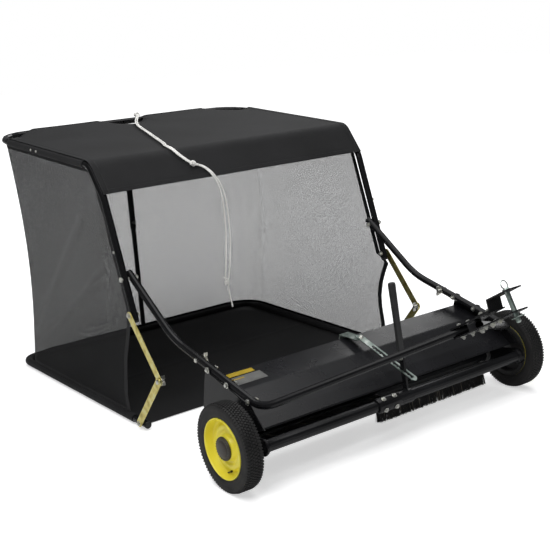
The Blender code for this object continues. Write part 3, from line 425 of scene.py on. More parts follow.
def curved(points, count):
    """A Catmull-Rom curve through the points."""
    ends = [points[0] * 2 - points[1]] + points + [points[-1] * 2 - points[-2]]
    out = []
    for k in range(count + 1):
        place = min(k * (len(points) - 1) / count, len(points) - 1 - 1e-6)
        a, b, c, d = ends[int(place):int(place) + 4]
        t = place - int(place)
        out.append(0.5 * (2 * b + (c - a) * t + (2 * a - 5 * b + 4 * c - d) * t ** 2
                          + (3 * b - a - 3 * c + d) * t ** 3))
    return out


def boxed(bm, centre, axes, size):
    matrix = Matrix(axes).transposed().to_4x4()
    matrix.translation = centre
    bmesh.ops.create_cube(bm, size=1, matrix=matrix @ Matrix.Diagonal((*size, 1)))


def bolt_head(bm, base, direction, size=0.0068, nut=False, washer=1.4):
    """A hexagon head on its washer; a nut also shows the end of its thread."""
    direction = Vector(direction).normalized()
    seat = Vector(base) + direction * WASHER_TOP
    if washer:
        disc = size * washer
        lathe(bm, base, direction, [(0, disc), (0.0010, disc), (WASHER_TOP, disc * 0.95)], 20)
    lathe(bm, seat, direction, [(0, size), (size * 0.55, size), (size * 0.68, size * 0.86)], 6)
    if nut:
        lathe(bm, seat, direction,
              [(0, size * 0.55), (size * 1.15, size * 0.55), (size * 1.25, size * 0.45)], 12)
    else:
        lathe(bm, Vector(base) + direction * (WASHER_TOP + size * 0.66), direction,
              [(0, size * 0.8), (size * 0.06, size * 0.74)], 16)


# ---- rope: two strands over the canopy
ROPE_LIFT = LIFT + 0.0065
BEND_LIFT = 0.0185
ROPE_STEP = 0.003
STRAND_R = 0.0030
STRAND_GAP = 0.0040
OPENS_AT = 0.98
ROCKING = 5.0
ALONG_FLAP = (UPRIGHT_KINK - TOP_FRONT).normalized()
OFF_FLAP = Vector((0, ALONG_FLAP.z, -ALONG_FLAP.y))


def flap_point(x, down, off=ROPE_LIFT):
    spot = TOP_FRONT + ALONG_FLAP * down + OFF_FLAP * off
    return Vector((x, spot.y, spot.z))


def top_point(x, y):
    return Vector((x, y, top_height(y) + ROPE_LIFT))


over_bend = TOP_FRONT + (OFF_FLAP + Vector((0, 0, 1))).normalized() * BEND_LIFT
flap_edge = flap_point(-0.132, 0.126)
ROPE_TIE = Vector((0.045, HOPPER_BACK - 0.050, TOP_REAR_Z + 0.0300))
route = [ROPE_TIE + Vector((0, -0.012, 0)), top_point(-0.055, 1.412), top_point(-0.144, 1.151),
         top_point(-0.212, 0.940), top_point(-0.236, 0.880), Vector((-0.240, over_bend.y, over_bend.z)),
         flap_point(-0.222, 0.030), flap_point(-0.192, 0.066), flap_point(-0.160, 0.082),
         flap_point(-0.142, 0.102), flap_edge]
for x, drop in ((-0.112, 0.040), (-0.098, 0.100), (-0.094, 0.220), (-0.104, 0.330), (-0.117, 0.420),
                (-0.104, 0.500)):
    route.append(Vector((x, flap_edge.y - 0.006, flap_edge.z - drop)))
rope_line = resample([p + SHIFT for p in curved(route, 240)], ROPE_STEP)


def strand(name, phase, share):
    """One of the two parallel strands, a braid that rocks slowly about the route."""
    line = rope_line[:int(len(rope_line) * share)]
    path = []
    for index, point in enumerate(line):
        gone = index * ROPE_STEP
        open_up = 1.0 + 1.3 * max(0.0, math.sin((gone - OPENS_AT) * 5.5)) * (gone > OPENS_AT)
        rock = math.sin(gone * ROCKING)
        side = phase * STRAND_GAP * open_up * math.cos(0.5 * rock)
        path.append(point + Vector((side, -0.0008 * abs(rock), 0)))
    bm = bmesh.new()
    tube(bm, [p - SHIFT for p in path], STRAND_R, 12,
         lambda s, a: 0.96 + 0.07 * math.cos(2 * a + s * 900) * math.cos(2 * a - s * 900))
    obj = piece(name, bm, "rope_white", "hopper", sharp=80)
    return obj, path


def knot(name, centre, direction, size=0.0075):
    """A tight overhand knot: two and a half wraps round the strands, with a short tail."""
    across, up = square_axes(direction)
    direction = Vector(direction).normalized()
    steps = 46
    pitch = 0.00036
    path = []
    for k in range(steps):
        angle = k * 0.36
        path.append(centre + direction * (k - steps // 2) * pitch
                    + size * (math.cos(angle) * across + math.sin(angle) * up))
    path += [path[-1] + across * 0.006 * k + direction * 0.003 * k for k in (1, 2, 3)]
    bm = bmesh.new()
    tube(bm, path, STRAND_R * 0.92, 10)
    return piece(name, bm, "rope_white", "hopper", sharp=80)


tie_knot = knot("rope_knot_tie", ROPE_TIE + Vector((0, 0.002, -0.002)), (0, 1, 0))
bend_knot = knot("rope_knot_flap", flap_point(-0.190, 0.068, ROPE_LIFT + 0.002), (0.8, 0.1, -0.5))
end_knot = knot("rope_knot_end", rope_line[int(len(rope_line) * 0.93)] - SHIFT, (0, 0, 1), 0.006)
long_strand, long_path = strand("rope_strand_long", 1, 1.0)
short_strand, short_path = strand("rope_strand_short", -1, 0.94)
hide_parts("dump_rope")
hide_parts("rope_knot")


# ---- wheels
TREAD_ROWS = ((0.5945, 0.6010), (0.6025, 0.6085), (0.6100, 0.6180), (0.6195, 0.6255), (0.6270, 0.6335))
SHOULDER_ROWS = ((0.5856, 0.5935), (0.6345, 0.6424))
BLOCKS = 84
RIM_BACK = 0.6050


def tyre(side, sign):
    bm = bmesh.new()
    profile = soften([(0.5880, RIM_R), (0.5850, 0.1020), (0.5842, 0.1130), (0.5846, 0.1140),
                      (0.5840, 0.1230), (0.5848, 0.1300), (0.5885, 0.1350), (0.5950, 0.1366),
                      (0.6330, 0.1366), (0.6395, 0.1350), (0.6432, 0.1300), (0.6440, 0.1230),
                      (0.6434, 0.1140), (0.6438, 0.1130), (0.6430, 0.1020), (0.6400, RIM_R)], 0.0012)
    lathe(bm, AXLE, (sign, 0, 0), profile, 120, bored=True)
    for row, (first, last) in enumerate(TREAD_ROWS):
        for k in range(BLOCKS):
            angle = 2 * math.pi * (k + 0.5 * (row % 2)) / BLOCKS
            lug(bm, sign, first, last, 0.1360, WHEEL_R, angle, 0.050)
    for first, last in SHOULDER_ROWS:
        for k in range(BLOCKS):
            lug(bm, sign, first, last, 0.1310, 0.1374, 2 * math.pi * (k + 0.25) / BLOCKS, 0.042)
    obj = piece("tyre_" + side + "_treaded", bm, "tyre_rubber", side + "_wheel", sharp=30)
    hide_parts("tyre_" + side)


def lug(bm, sign, first, last, inner, outer, angle, spread):
    """One tread block, a little smaller at its top."""
    corners = []
    for radius, narrow in ((inner, 1.0), (outer, 0.82)):
        for x, way in ((first, -1), (last, -1), (last, 1), (first, 1)):
            a = angle + way * spread * narrow / 2
            middle = (first + last) / 2
            wide = sign * (middle + (x - middle) * (0.55 + 0.45 * narrow))
            corners.append(bm.verts.new(AXLE + Vector((wide, radius * math.cos(a), radius * math.sin(a)))))
    for face in ((0, 1, 2, 3), (4, 5, 6, 7), (0, 1, 5, 4), (1, 2, 6, 5), (2, 3, 7, 6), (3, 0, 4, 7)):
        bm.faces.new([corners[i] for i in face])


def rim(side, sign):
    bm = bmesh.new()
    profile = soften([(0.5750, 0.0103), (0.5750, 0.0180), (0.6028, 0.0180), (0.6028, 0.0925),
                      (0.5860, 0.0925), (0.5860, RIM_R - 0.0002), (0.6425, RIM_R - 0.0002), (0.6440, 0.0955),
                      (0.6440, 0.0925), (0.6350, 0.0915), (0.6165, 0.0885), (0.6130, 0.0840),
                      (0.6130, 0.0760), (0.6165, 0.0735), (0.6230, 0.0690), (0.6230, 0.0560),
                      (0.6170, 0.0510), (0.6170, 0.0430), (0.6310, 0.0390), (0.6338, 0.0103)], 0.0014)
    lathe(bm, AXLE, (sign, 0, 0), profile, 96, bored=True)
    for face in bm.faces:                      # the gear side of the rim is black
        face.material_index = int(abs(face.calc_center_median().x) < RIM_BACK)
    obj = piece("rim_" + side + "_smooth", bm, "yellow_rim_plastic", side + "_wheel", sharp=50,
                extra=("gear_plastic",))
    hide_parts("rim_" + side)
    bm = bmesh.new()
    valve = AXLE + Vector((sign * 0.6130, 0, -0.0800))
    lathe(bm, valve, (sign, 0, 0),
          [(0, 0.0036), (0.006, 0.0032), (0.007, 0.0024), (0.014, 0.0024), (0.0155, 0.0018)], 12)
    piece("valve_" + side, bm, "tyre_rubber", side + "_wheel")
    bm = bmesh.new()
    profile = soften([(0.6345, 0.0375), (0.6375, 0.0375), (0.6405, 0.0355), (0.6418, 0.0300),
                      (0.6412, 0.0280), (0.6455, 0.0250), (0.6480, 0.0120), (0.6484, 0.0030)], 0.0012)
    lathe(bm, AXLE, (sign, 0, 0), profile, 64)
    ribs = 24
    for k in range(ribs):
        angle = 2 * math.pi * k / ribs
        out = Vector((0, math.cos(angle), math.sin(angle)))
        boxed(bm, AXLE + Vector((sign * 0.6412, 0, 0)) + out * 0.0322,
              (out, Vector((1, 0, 0)), out.cross(Vector((1, 0, 0)))), (0.0052, 0.0016, 0.0018))
    obj = piece("hub_cap_" + side + "_ribbed", bm, "hub_cap_plastic", side + "_wheel")
    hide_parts("hub_cap_" + side)


for side, sign in SIDES:
    tyre(side, sign)
    rim(side, sign)


# ---- brush
ROWS = 2
ROW_LAG = math.radians(5)
TUFTS = 84
PER_TUFT = 24
FIRST_TUFT = 0.010
TUFT_RUN = 0.506
ROOT_R = 0.0222
PALE_SHARE = 0.04
TAPER = ((0.0, 0.0010), (0.5, 0.0009), (1.0, 0.0006))
CORNERS = (0.0, 2.094, 4.189)


def bristles(side, sign, turn):
    """Tufts of tapered three-sided nylon bristles in two rows, each one slightly its own way."""
    dice = random.Random(11 if sign < 0 else 12)
    bm = bmesh.new()
    for row in range(ROWS):
        base_angle = turn - ROW_LAG + math.pi * row
        for tuft in range(TUFTS):
            base_x = sign * (FIRST_TUFT + TUFT_RUN * tuft / (TUFTS - 1))
            for _ in range(PER_TUFT):
                angle = base_angle + dice.uniform(-0.07, 0.07)
                lean = dice.uniform(-0.10, 0.10)
                slip = dice.uniform(-0.004, 0.004)
                reach = dice.uniform(0.96, 1.0)
                pale = dice.random() < PALE_SHARE
                loops = []
                for share, wide in TAPER:
                    radius = ROOT_R + (BRUSH_R * reach - ROOT_R) * share
                    a = angle + lean * share ** 1.5
                    x = base_x + slip * share
                    centre = BRUSH + Vector((x, radius * math.cos(a), radius * math.sin(a)))
                    side_way = Vector((0, -math.sin(a), math.cos(a)))
                    loops.append([bm.verts.new(centre + wide * (math.cos(t) * side_way
                                                                + math.sin(t) * Vector((1, 0, 0))))
                                  for t in CORNERS])
                for first, second in zip(loops, loops[1:]):
                    for k in range(3):
                        face = bm.faces.new((first[k], first[(k + 1) % 3], second[(k + 1) % 3], second[k]))
                        face.material_index = int(pale)
                bm.faces.new(loops[2]).material_index = int(pale)
    obj = piece("bristles_" + side + "_tufted", bm, "bristle_nylon", "brush", closed=False,
                extra=("bristle_pale",))
    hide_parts("bristles_" + side)
    bm = bmesh.new()
    for row in range(ROWS):
        a = turn - ROW_LAG + math.pi * row
        out = Vector((0, math.cos(a), math.sin(a)))
        boxed(bm, BRUSH + out * 0.0235 + Vector((sign * 0.263, 0, 0)),
              (Vector((1, 0, 0)), out, Vector((1, 0, 0)).cross(out)), (0.515, 0.007, 0.011))
    piece("brush_strips_" + side, bm, "gear_plastic", "brush")


bristles("left", -1, 0.0)
bristles("right", 1, math.pi / 2)


# ---- housing
COVER_SHEET = 0.0018
COVER_BEND_Y = 0.1000
COVER_BEND_Z = 0.2600
COVER_SLOPE = 0.1850
LABEL_LIFT = 0.0012


def cover():
    """The bent cover with rounded bends, a rolled rear lip and slightly uneven panels."""
    corners = [(-0.0615, 0.1850), (-0.0600, 0.1905), (-0.0200, 0.2150), (0.1000, 0.2600), (0.2125, 0.2808),
               (0.2185, 0.2770), (0.2150, 0.2690)]
    path = resample(rounded([(0, y, z) for y, z in corners[1:5]], 0.011, 5), 0.006)
    path = [Vector((0, *corners[0]))] + path + [Vector((0, *c)) for c in corners[5:]]
    count = 110
    half = HOUSING_X - 0.0003
    bm = bmesh.new()
    loops = []
    for column in range(count + 1):
        x = -half + 2 * half * column / count
        outer = []
        inner = []
        for index, point in enumerate(path):
            way = (path[min(index + 1, len(path) - 1)] - path[max(index - 1, 0)]).normalized()
            normal = Vector((0, -way.z, way.y))
            wave = 0.0006 * noise.noise(Vector((x * 2.2, point.y * 5, 4.0)))
            spot = point + normal * wave
            outer.append(Vector((x, spot.y, spot.z)))
            inner.append(Vector((x, spot.y - normal.y * COVER_SHEET, spot.z - normal.z * COVER_SHEET)))
        loops.append([bm.verts.new(p) for p in outer + inner[::-1]])
    skin(bm, loops, ends=False)
    size = len(path)
    for loop in (loops[0], loops[-1]):
        for k in range(size - 1):
            bm.faces.new((loop[k], loop[k + 1], loop[2 * size - 2 - k], loop[2 * size - 1 - k]))
    obj = piece("housing_cover_bent", bm, "black_gloss_paint", "housing", sharp=40)
    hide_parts("housing_cover")
    bm = bmesh.new()
    tube(bm, [Vector((-half, 0.2165, 0.2735)), Vector((half, 0.2165, 0.2735))], 0.0040, 14)
    piece("cover_rear_roll", bm, "black_powder_coat", "housing")


def sticker(name, x0, x1, y0, y1, slot, high):
    """A thin generic label on the sloping cover; it carries no lettering."""
    bm = bmesh.new()
    rows = []
    for share in (0.0, 0.25, 0.5, 0.75, 1.0):
        y = y0 + (y1 - y0) * share
        z = COVER_BEND_Z + (y - COVER_BEND_Y) * COVER_SLOPE + LABEL_LIFT + high
        rows.append([Vector((x0 + (x1 - x0) * k / 8, y, z)) for k in range(9)])
    grid(bm, rows)
    bmesh.ops.solidify(bm, geom=bm.faces[:], thickness=0.0003)
    piece(name, bm, slot, "housing")


cover()
sticker("label_plate", -0.520, -0.372, 0.128, 0.176, "label_grey", 0.0)
sticker("label_band", -0.503, -0.385, 0.182, 0.204, "label_yellow", 0.0)
sticker("label_stripe", -0.512, -0.440, 0.160, 0.166, "label_yellow", 0.0004)


# ---- fasteners, too small to be CAD nodes
NUT = (True,)
BARE = (False, 0)
HOPPER_PIVOT = (0.629, 0.412)
HITCH_FACE = 0.0170
CLEVIS_FACE = 0.0217
LEVER_X = 0.020
PLUG = ((0, 0.0131), (0.003, 0.0131), (0.006, 0.0110), (0.007, 0.0060))


def bolts(name, body, *heads):
    """One piece of several bolt heads: place, direction, size, and NUT or BARE (no washer) if it is one."""
    bm = bmesh.new()
    for place, direction, size, *kind in heads:
        bolt_head(bm, place, direction, size, *kind)
    piece(name, bm, "bolt_zinc", body)


def side_fasteners(side, sign):
    out = Vector((sign, 0, 0))
    heads = []
    for y in (0.200, 0.096, -0.015):
        heads.append(((sign * (HOUSING_X + SIDE_PLATE), y, tow_height(y)), out, 0.0070))
        heads.append(((sign * (TOW_X - TUBE_R), y, tow_height(y)), -out, 0.0066, *NUT))
    bolts("side_bolts_" + side, "housing", *heads)
    heads = []
    for back, up in ((0, 0.050), (0.040, -0.012), (-0.022, 0.075)):
        y, z = BRUSH.y + back, BRUSH.z + up
        heads.append(((sign * HOUSING_X, y, z), -out, 0.0058))
        heads.append(((sign * (HOUSING_X + SIDE_PLATE), y, z), out, 0.0052, *BARE))
    bolts("plate_bolts_" + side, "housing", *heads)
    bm = bmesh.new()
    lathe(bm, CROSS + Vector((sign * 0.5525, 0, 0)), -out,
          [(0, 0.0255), (0.004, 0.0255), (0.008, 0.0205), (0.013, 0.0198)], 40)
    piece("cross_tube_flange_" + side, bm, "black_powder_coat", "wheel_carrier")
    bolts("hopper_bolts_" + side, "hopper",
          ((sign * 0.5775, *HOPPER_PIVOT), out, 0.0075),
          ((sign * (HOPPER_X - TUBE_R), *HOPPER_PIVOT), -out, 0.0068, *NUT),
          ((sign * (HOPPER_X + TUBE_R), upright_y(0.620), 0.620), out, 0.0050, *BARE))
    bolts("knee_low_bolt_" + side, "hopper_floor",
          ((sign * 0.5832, HOPPER_PIVOT[0], FLOOR_Z + 0.008), out, 0.0068))
    end = Vector((sign * HOPPER_X, UPRIGHT_END.y, UPRIGHT_END.z))
    kink = Vector((sign * HOPPER_X, UPRIGHT_KINK.y, UPRIGHT_KINK.z))
    foot = (sign * HOPPER_X, 0.612, FLOOR_Z)
    for name, body, start, way in (("upright_plug_", "hopper", end, end - kink),
                                   ("floor_plug_", "hopper_floor", foot, (0, -1, 0))):
        bm = bmesh.new()
        lathe(bm, start, way, PLUG, 24)
        piece(name + side, bm, "grip_vinyl", body)
    bolts("joint_screws_" + side, "hopper",
          *(((sign * (HOPPER_X + TUBE_R), y, top_height(y)), out, 0.0046, *BARE) for y in (1.228, 1.272)))


def hitch_fasteners():
    square = hitch_point(0, 0, 1) - hitch_point(0, 0, 0)
    heads = []
    for sign in (-1, 1):
        for ahead in (0.398, 0.416):
            x = sign * TOW_X * (1 - ahead / TOW_REACH)
            heads.append((hitch_point(x, ahead, HITCH_FACE), square, 0.0068))
            heads.append((hitch_point(x, ahead, -HITCH_FACE), -square, 0.0066, *NUT))
        for ahead in (0.474, 0.510):
            heads.append((hitch_point(sign * 0.014, ahead, CLEVIS_FACE), square, 0.0066))
            heads.append((hitch_point(sign * 0.014, ahead, -HITCH_FACE), -square, 0.0066, *NUT))
    bolts("hitch_bolts", "housing", *heads)


def lever_fasteners():
    """The clamp's and lever's bolts, the saddle under the clamp, and a thin black disc that paints the shade
    inside the lever's spare hole.
    """
    heads = []
    for x in (-0.092, -0.046):
        for angle in (math.radians(118), math.radians(205)):
            out = Vector((0, math.cos(angle), math.sin(angle)))
            heads.append((CROSS + Vector((x, 0, 0)) + out * 0.0262, out, 0.0060))
    foot = Vector((LEVER_X, CROSS.y + 0.0040, CROSS.z + 0.0242))
    way = (Vector((LEVER_X, -0.034, 0.520)) - foot).normalized()
    heads.append((foot + way * 0.104 + Vector((-0.004, 0, 0)), (-1, 0, 0), 0.0062))
    heads.append((foot + way * 0.104 + Vector((0.004, 0, 0)), (1, 0, 0), 0.0062, *NUT))
    bolts("lever_bolts", "wheel_carrier", *heads)
    bm = bmesh.new()
    loops = []
    for x, deep in ((-0.116, 0.0240), (-0.112, 0.0252), (-0.026, 0.0252), (-0.022, 0.0240)):
        turns = [math.radians(70 + 190 * k / 20) for k in range(21)]
        ring = [CROSS + Vector((x, deep * math.cos(a), deep * math.sin(a))) for a in turns]
        ring += [CROSS + Vector((x, 0.0200 * math.cos(a), 0.0200 * math.sin(a))) for a in turns[::-1]]
        loops.append([bm.verts.new(p) for p in ring])
    skin(bm, loops)
    piece("lever_saddle", bm, "black_powder_coat", "wheel_carrier")
    # painted shade: a thin black disc on the lever's side stands for the dark inside of its spare hole
    bm = bmesh.new()
    lathe(bm, foot + way * 0.050 + Vector((-0.0041, 0, 0)), (-1, 0, 0), [(0, 0.0040), (0.0002, 0.0038)], 16)
    piece("lever_hole_painted_shade", bm, "tyre_rubber", "wheel_carrier")


for side, sign in SIDES:
    side_fasteners(side, sign)
hitch_fasteners()
lever_fasteners()
bolts("bracket_bolts", "housing", ((LEVER_X, 0.1345, 0.2985), (0, -0.309, 1), 0.0062),
      ((0.010, 0.2285, 0.2560), (0, 1, 0), 0.0055), ((0.030, 0.2285, 0.2560), (0, 1, 0), 0.0055))
bolts("post_bolts", "hopper", *(((0, HOPPER_BACK - 0.0125, z), (0, -1, 0), 0.0060) for z in (0.500, 0.900)))
bolts("post_clip", "hopper_floor", ((0, HOPPER_BACK - 0.0100, 0.205), (0, -1, 0), 0.0055))


# ---- hopper cloth
MOON = 0.088
CUT_X = 0.425
HALF = HOPPER_X + 0.0050
MOON_DROOP = MOON * 1.3
DROOP = 0.016
DROOP_REACH = 0.050
HEM_LIFT = 0.0009
STITCH_LIFT = 0.0012
SIDE_HEM = 0.86
CANOPY_RUN = 0.92


def rear_edge(x):
    """How far back the canopy goes: a half-moon at the post and a cut across each corner."""
    edge = HOPPER_BACK + 0.004
    if abs(x) < MOON:
        return edge - 0.015 - 0.075 * math.sqrt(1 - (x / MOON) ** 2)
    if abs(x) > CUT_X:
        return edge - 0.160 * (abs(x) - CUT_X) / (HALF - CUT_X)
    return edge


def canopy_profile():
    """The canopy's section from the flap's hem over the bend to the rear tube."""
    normal = Vector((0, -(TOP_FRONT.z - UPRIGHT_KINK.z), TOP_FRONT.y - UPRIGHT_KINK.y)).normalized()
    middle = (normal + Vector((0, 0, 1))).normalized()
    corner = TOP_FRONT + middle * LIFT / middle.z
    front = UPRIGHT_KINK + normal * LIFT
    rear = Vector((HOPPER_X, HOPPER_BACK + 0.01, TOP_REAR_Z + LIFT))
    return resample([Vector((0, p.y, p.z)) for p in rounded((front, corner, rear), 0.045 + LIFT, 8)], 0.004)


PROFILE = canopy_profile()


def canopy_spot(x, share, off=0.0):
    """A place on the sagging canopy; share runs from the flap's hem to the rear edge."""
    index = share * (len(PROFILE) - 1)
    low = min(int(index), len(PROFILE) - 2)
    base = PROFILE[low].lerp(PROFILE[low + 1], index - low)
    way = (PROFILE[low + 1] - PROFILE[low]).normalized()
    normal = Vector((0, -way.z, way.y))
    inner = max(0.0, 1 - (x / HOPPER_X) ** 2)
    sag = 0.0035 * inner * math.sin(math.pi * min(1.0, share))
    droop = 0.0
    gap = max(0.0, rear_edge(x) - base.y)
    if abs(x) < MOON_DROOP:
        droop = DROOP * math.cos(math.pi / 2 * x / MOON_DROOP) * math.exp(-gap / DROOP_REACH)
    if abs(x) > CUT_X - 0.03:
        across = (abs(x) - CUT_X + 0.03) / (HALF - CUT_X + 0.03)
        droop = DROOP * math.sin(math.pi * across) * math.exp(-gap / DROOP_REACH)
    ripple = 0.0012 * noise.noise(Vector((x * 5, base.y * 6, base.z * 5))) * (0.3 + inner)
    return Vector((x, base.y, base.z)) + normal * (off + ripple - sag - droop)


def share_at(y):
    """The share of the profile at which the canopy's top reaches y."""
    for index, point in enumerate(PROFILE):
        if point.y >= y and point.z > TOP_FRONT.z:
            return index / (len(PROFILE) - 1)
    return 1.0


def canopy():
    columns = 150
    rows = 120
    sheet_rows = []
    for row in range(rows + 1):
        line = []
        for column in range(columns + 1):
            x = -HALF + 2 * HALF * column / columns
            share = share_at(rear_edge(x)) * row / rows
            line.append(canopy_spot(x, share))
        sheet_rows.append(line)
    bm = bmesh.new()
    grid(bm, sheet_rows)
    obj = piece("canopy_cloth", bm, "canopy_fabric", "hopper", closed=False, sharp=60)
    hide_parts("canopy")
    hems = bmesh.new()
    stitches = bmesh.new()
    last = len(PROFILE) - 1
    edges = [[canopy_spot(-HALF + 2 * HALF * k / 150, s / last, HEM_LIFT) for k in range(151)]
             for s in (0.0, 2.5, 5.0)]
    grid(hems, edges)
    for side in (-1, 1):
        for inner in (0.0, 0.020):
            x = side * (HALF - inner)
            if inner:
                grid(hems, [[canopy_spot(side * (HALF - w), SIDE_HEM * k / 100, HEM_LIFT)
                             for k in range(101)] for w in (0.0, 0.010, 0.020)])
            stitch(stitches, [canopy_spot(x - side * 0.003, SIDE_HEM * k / 160, STITCH_LIFT)
                              for k in range(161)])
    for s in (0.6, 4.4):
        stitch(stitches, [canopy_spot(-HALF + 2 * HALF * k / 200, s / last, STITCH_LIFT)
                          for k in range(201)])
    rim_rows = []
    for back in (0.0, 0.007, 0.014):
        line = []
        for k in range(261):
            x = -HALF + 2 * HALF * k / 260
            line.append(canopy_spot(x, max(0.0, share_at(rear_edge(x)) - back / CANOPY_RUN), HEM_LIFT))
        rim_rows.append(line)
    grid(hems, rim_rows)
    hem = piece("canopy_hems", hems, "canopy_fabric", "hopper", closed=False, sharp=60)
    sewn = piece("canopy_stitches", stitches, "thread_grey", "hopper", closed=False)
    bpy.context.view_layer.update()


def stitch(bm, line):
    """Short thread dashes along a line, 3 mm long and 5 mm apart."""
    spots = resample(line, 0.0025)
    for first, second in zip(spots[::2], spots[1::2]):
        way = second - first
        if way.length < 1e-5:
            continue
        axes = (way.normalized(), *square_axes(way))
        boxed(bm, (first + second) / 2, axes, (way.length, 0.0007, 0.0007))


# (height, how far back the front edge of the netting is there)
LEFT_FRONT = ((0.032, 0.728), (0.100, 0.738), (0.244, 0.712), (0.340, 0.676), (0.420, 0.652))
RIGHT_FRONT = ((0.032, 0.640), (0.118, 0.638), (0.190, 0.650), (0.240, 0.652), (0.300, 0.640),
               (0.350, 0.620), (0.392, 0.600), (0.420, 0.640))


def front_edge(z, table):
    for (z0, y0), (z1, y1) in zip(table, table[1:]):
        if z <= z1:
            return y0 + (y1 - y0) * max(0.0, (z - z0) / (z1 - z0))
    return min(upright_y(z) + 0.0165, TOP_FRONT.y + 0.020)


NET_FOOT = 0.032
FOLD_DEEP = 0.0130
NET_COLUMNS = 236
# (y, z) of both ends of each pull fold
CREASES = (((0.963, 0.691), (1.286, 0.375)), ((1.286, 0.375), (1.509, 0.158)),
           ((0.743, 0.570), (1.069, 0.376)), ((1.069, 0.376), (1.541, 0.098)),
           ((0.779, 0.760), (0.814, 0.326)), ((0.700, 0.500), (0.783, 0.333)))


def crease(y, z):
    """Height of the pull folds that the photograph shows across a side wall."""
    total = 0.0
    for (y0, z0), (y1, z1) in CREASES:
        dy, dz = y1 - y0, z1 - z0
        share = max(0.0, min(1.0, ((y - y0) * dy + (z - z0) * dz) / (dy * dy + dz * dz)))
        gap = math.hypot(y - y0 - share * dy, z - z0 - share * dz)
        total = max(total, math.exp(-(gap / 0.016) ** 2) * (0.35 + 0.65 * math.sin(math.pi * share)))
    return total


def wall_row(share):
    """One level of the netting, from the left front edge round the rear to the right front edge."""
    base_z = NET_FOOT + (TOP_REAR_Z - 0.020 - NET_FOOT) * share
    pull = math.sin(math.pi * share)
    radius = 0.118 + 0.075 * pull
    back = HOPPER_BACK - 0.0160 - 0.006 * pull
    side_x = HOPPER_X - 0.0005
    points = []
    left = front_edge(base_z, LEFT_FRONT)
    right_y = front_edge(base_z, RIGHT_FRONT)
    path = rounded(((-side_x, left, 0), (-side_x, back, 0), (side_x, back, 0), (side_x, right_y, 0)),
                   radius, 10)
    for point in resample_count(path, NET_COLUMNS):
        side_gap = min(abs(point.y - left), abs(back - point.y))
        on_side = abs(point.x) > side_x - 0.002
        z = NET_FOOT + (top_height(point.y) - 0.0155 - NET_FOOT) * share
        bow = 0.010 * pull * math.sin(math.pi * min(1.0, max(0.0, (point.y - left) / (back - left))))
        x = point.x
        y = point.y
        if on_side:
            fold = crease(y, z) * (FOLD_DEEP if x < 0 else 0.0)
            fade = min(1.0, side_gap / 0.05)
            flutter = 0.0022 * noise.noise(Vector((y * 6, z * 9, 2 + (x > 0)))) * pull
            x -= math.copysign((bow - fold + flutter) * fade, x)
        else:
            y -= 0.004 * pull * noise.noise(Vector((x * 4, z * 5, 7.0))) * (abs(x) < 0.40)
        points.append(Vector((x, y, z)))
    return points


def resample_count(path, count):
    length = sum((b - a).length for a, b in zip(path, path[1:]))
    return resample(path, length / count)[:count + 1]


def walls():
    levels = 84
    rows = [wall_row(level / levels) for level in range(levels + 1)]
    bm = bmesh.new()
    grid(bm, rows)
    net = piece("hopper_netting", bm, "mesh_fabric", "hopper", closed=False, sharp=80)
    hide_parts("mesh_wall_left", "mesh_wall_right", "mesh_wall_rear")
    bm = bmesh.new()
    for column, way in ((0, 1), (-1, -1)):
        lines = []
        for inset in (0, 1, 2):
            lines.append([row[column + way * inset] + Vector((math.copysign(0.0007, row[column].x), 0, 0))
                          for row in rows])
        grid(bm, lines)
    for level in (0, -1):
        step = 1 if level == 0 else -1
        lines = []
        for deep in (0, 1):
            line = []
            for point in rows[level + step * deep]:
                out = Vector((point.x, point.y - 1.1, 0)).normalized()
                line.append(point + out * 0.0008)
            lines.append(line)
        grid(bm, lines)
    binding = piece("netting_binding", bm, "canopy_fabric", "hopper", closed=False, sharp=80)
    bpy.context.view_layer.update()
    for obj in (net, binding):
        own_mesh(obj)


CLOTH_FRONT = 0.656
CLOTH_BACK = HOPPER_BACK + 0.004


def floor_cloth():
    """The cloth floor, laid over its frame, with one shallow fold across it."""
    reach = HOPPER_X + 0.004
    rows = []
    for row in range(101):
        y = CLOTH_FRONT + (CLOTH_BACK - CLOTH_FRONT) * row / 100
        narrow = max(0.0, y - (HOPPER_BACK - 0.050)) / 0.054
        half = reach - 0.060 * narrow ** 2
        line = []
        for column in range(111):
            x = -half + 2 * half * column / 110
            rim_gap = min(half - abs(x), CLOTH_BACK - y)
            z = 0.0022 + 0.0016 * noise.noise(Vector((x * 4, y * 5, 1.0)))
            z += 0.0030 * math.exp(-rim_gap / 0.012)
            z += 0.0012 * math.exp(-((y - 1.160 - 0.05 * x) / 0.012) ** 2)
            line.append(Vector((x, y, max(0.0008, z))))
        rows.append(line)
    bm = bmesh.new()
    grid(bm, rows)
    cloth = piece("floor_cloth", bm, "canopy_fabric", "hopper_floor", closed=False, sharp=70)
    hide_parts("hopper_floor_panel")
    bm = bmesh.new()
    grid(bm, [[p + Vector((0, 0, 0.0010)) for p in row] for row in rows[:3]])
    hem = piece("floor_hem", bm, "canopy_fabric", "hopper_floor", closed=False)
    bpy.context.view_layer.update()


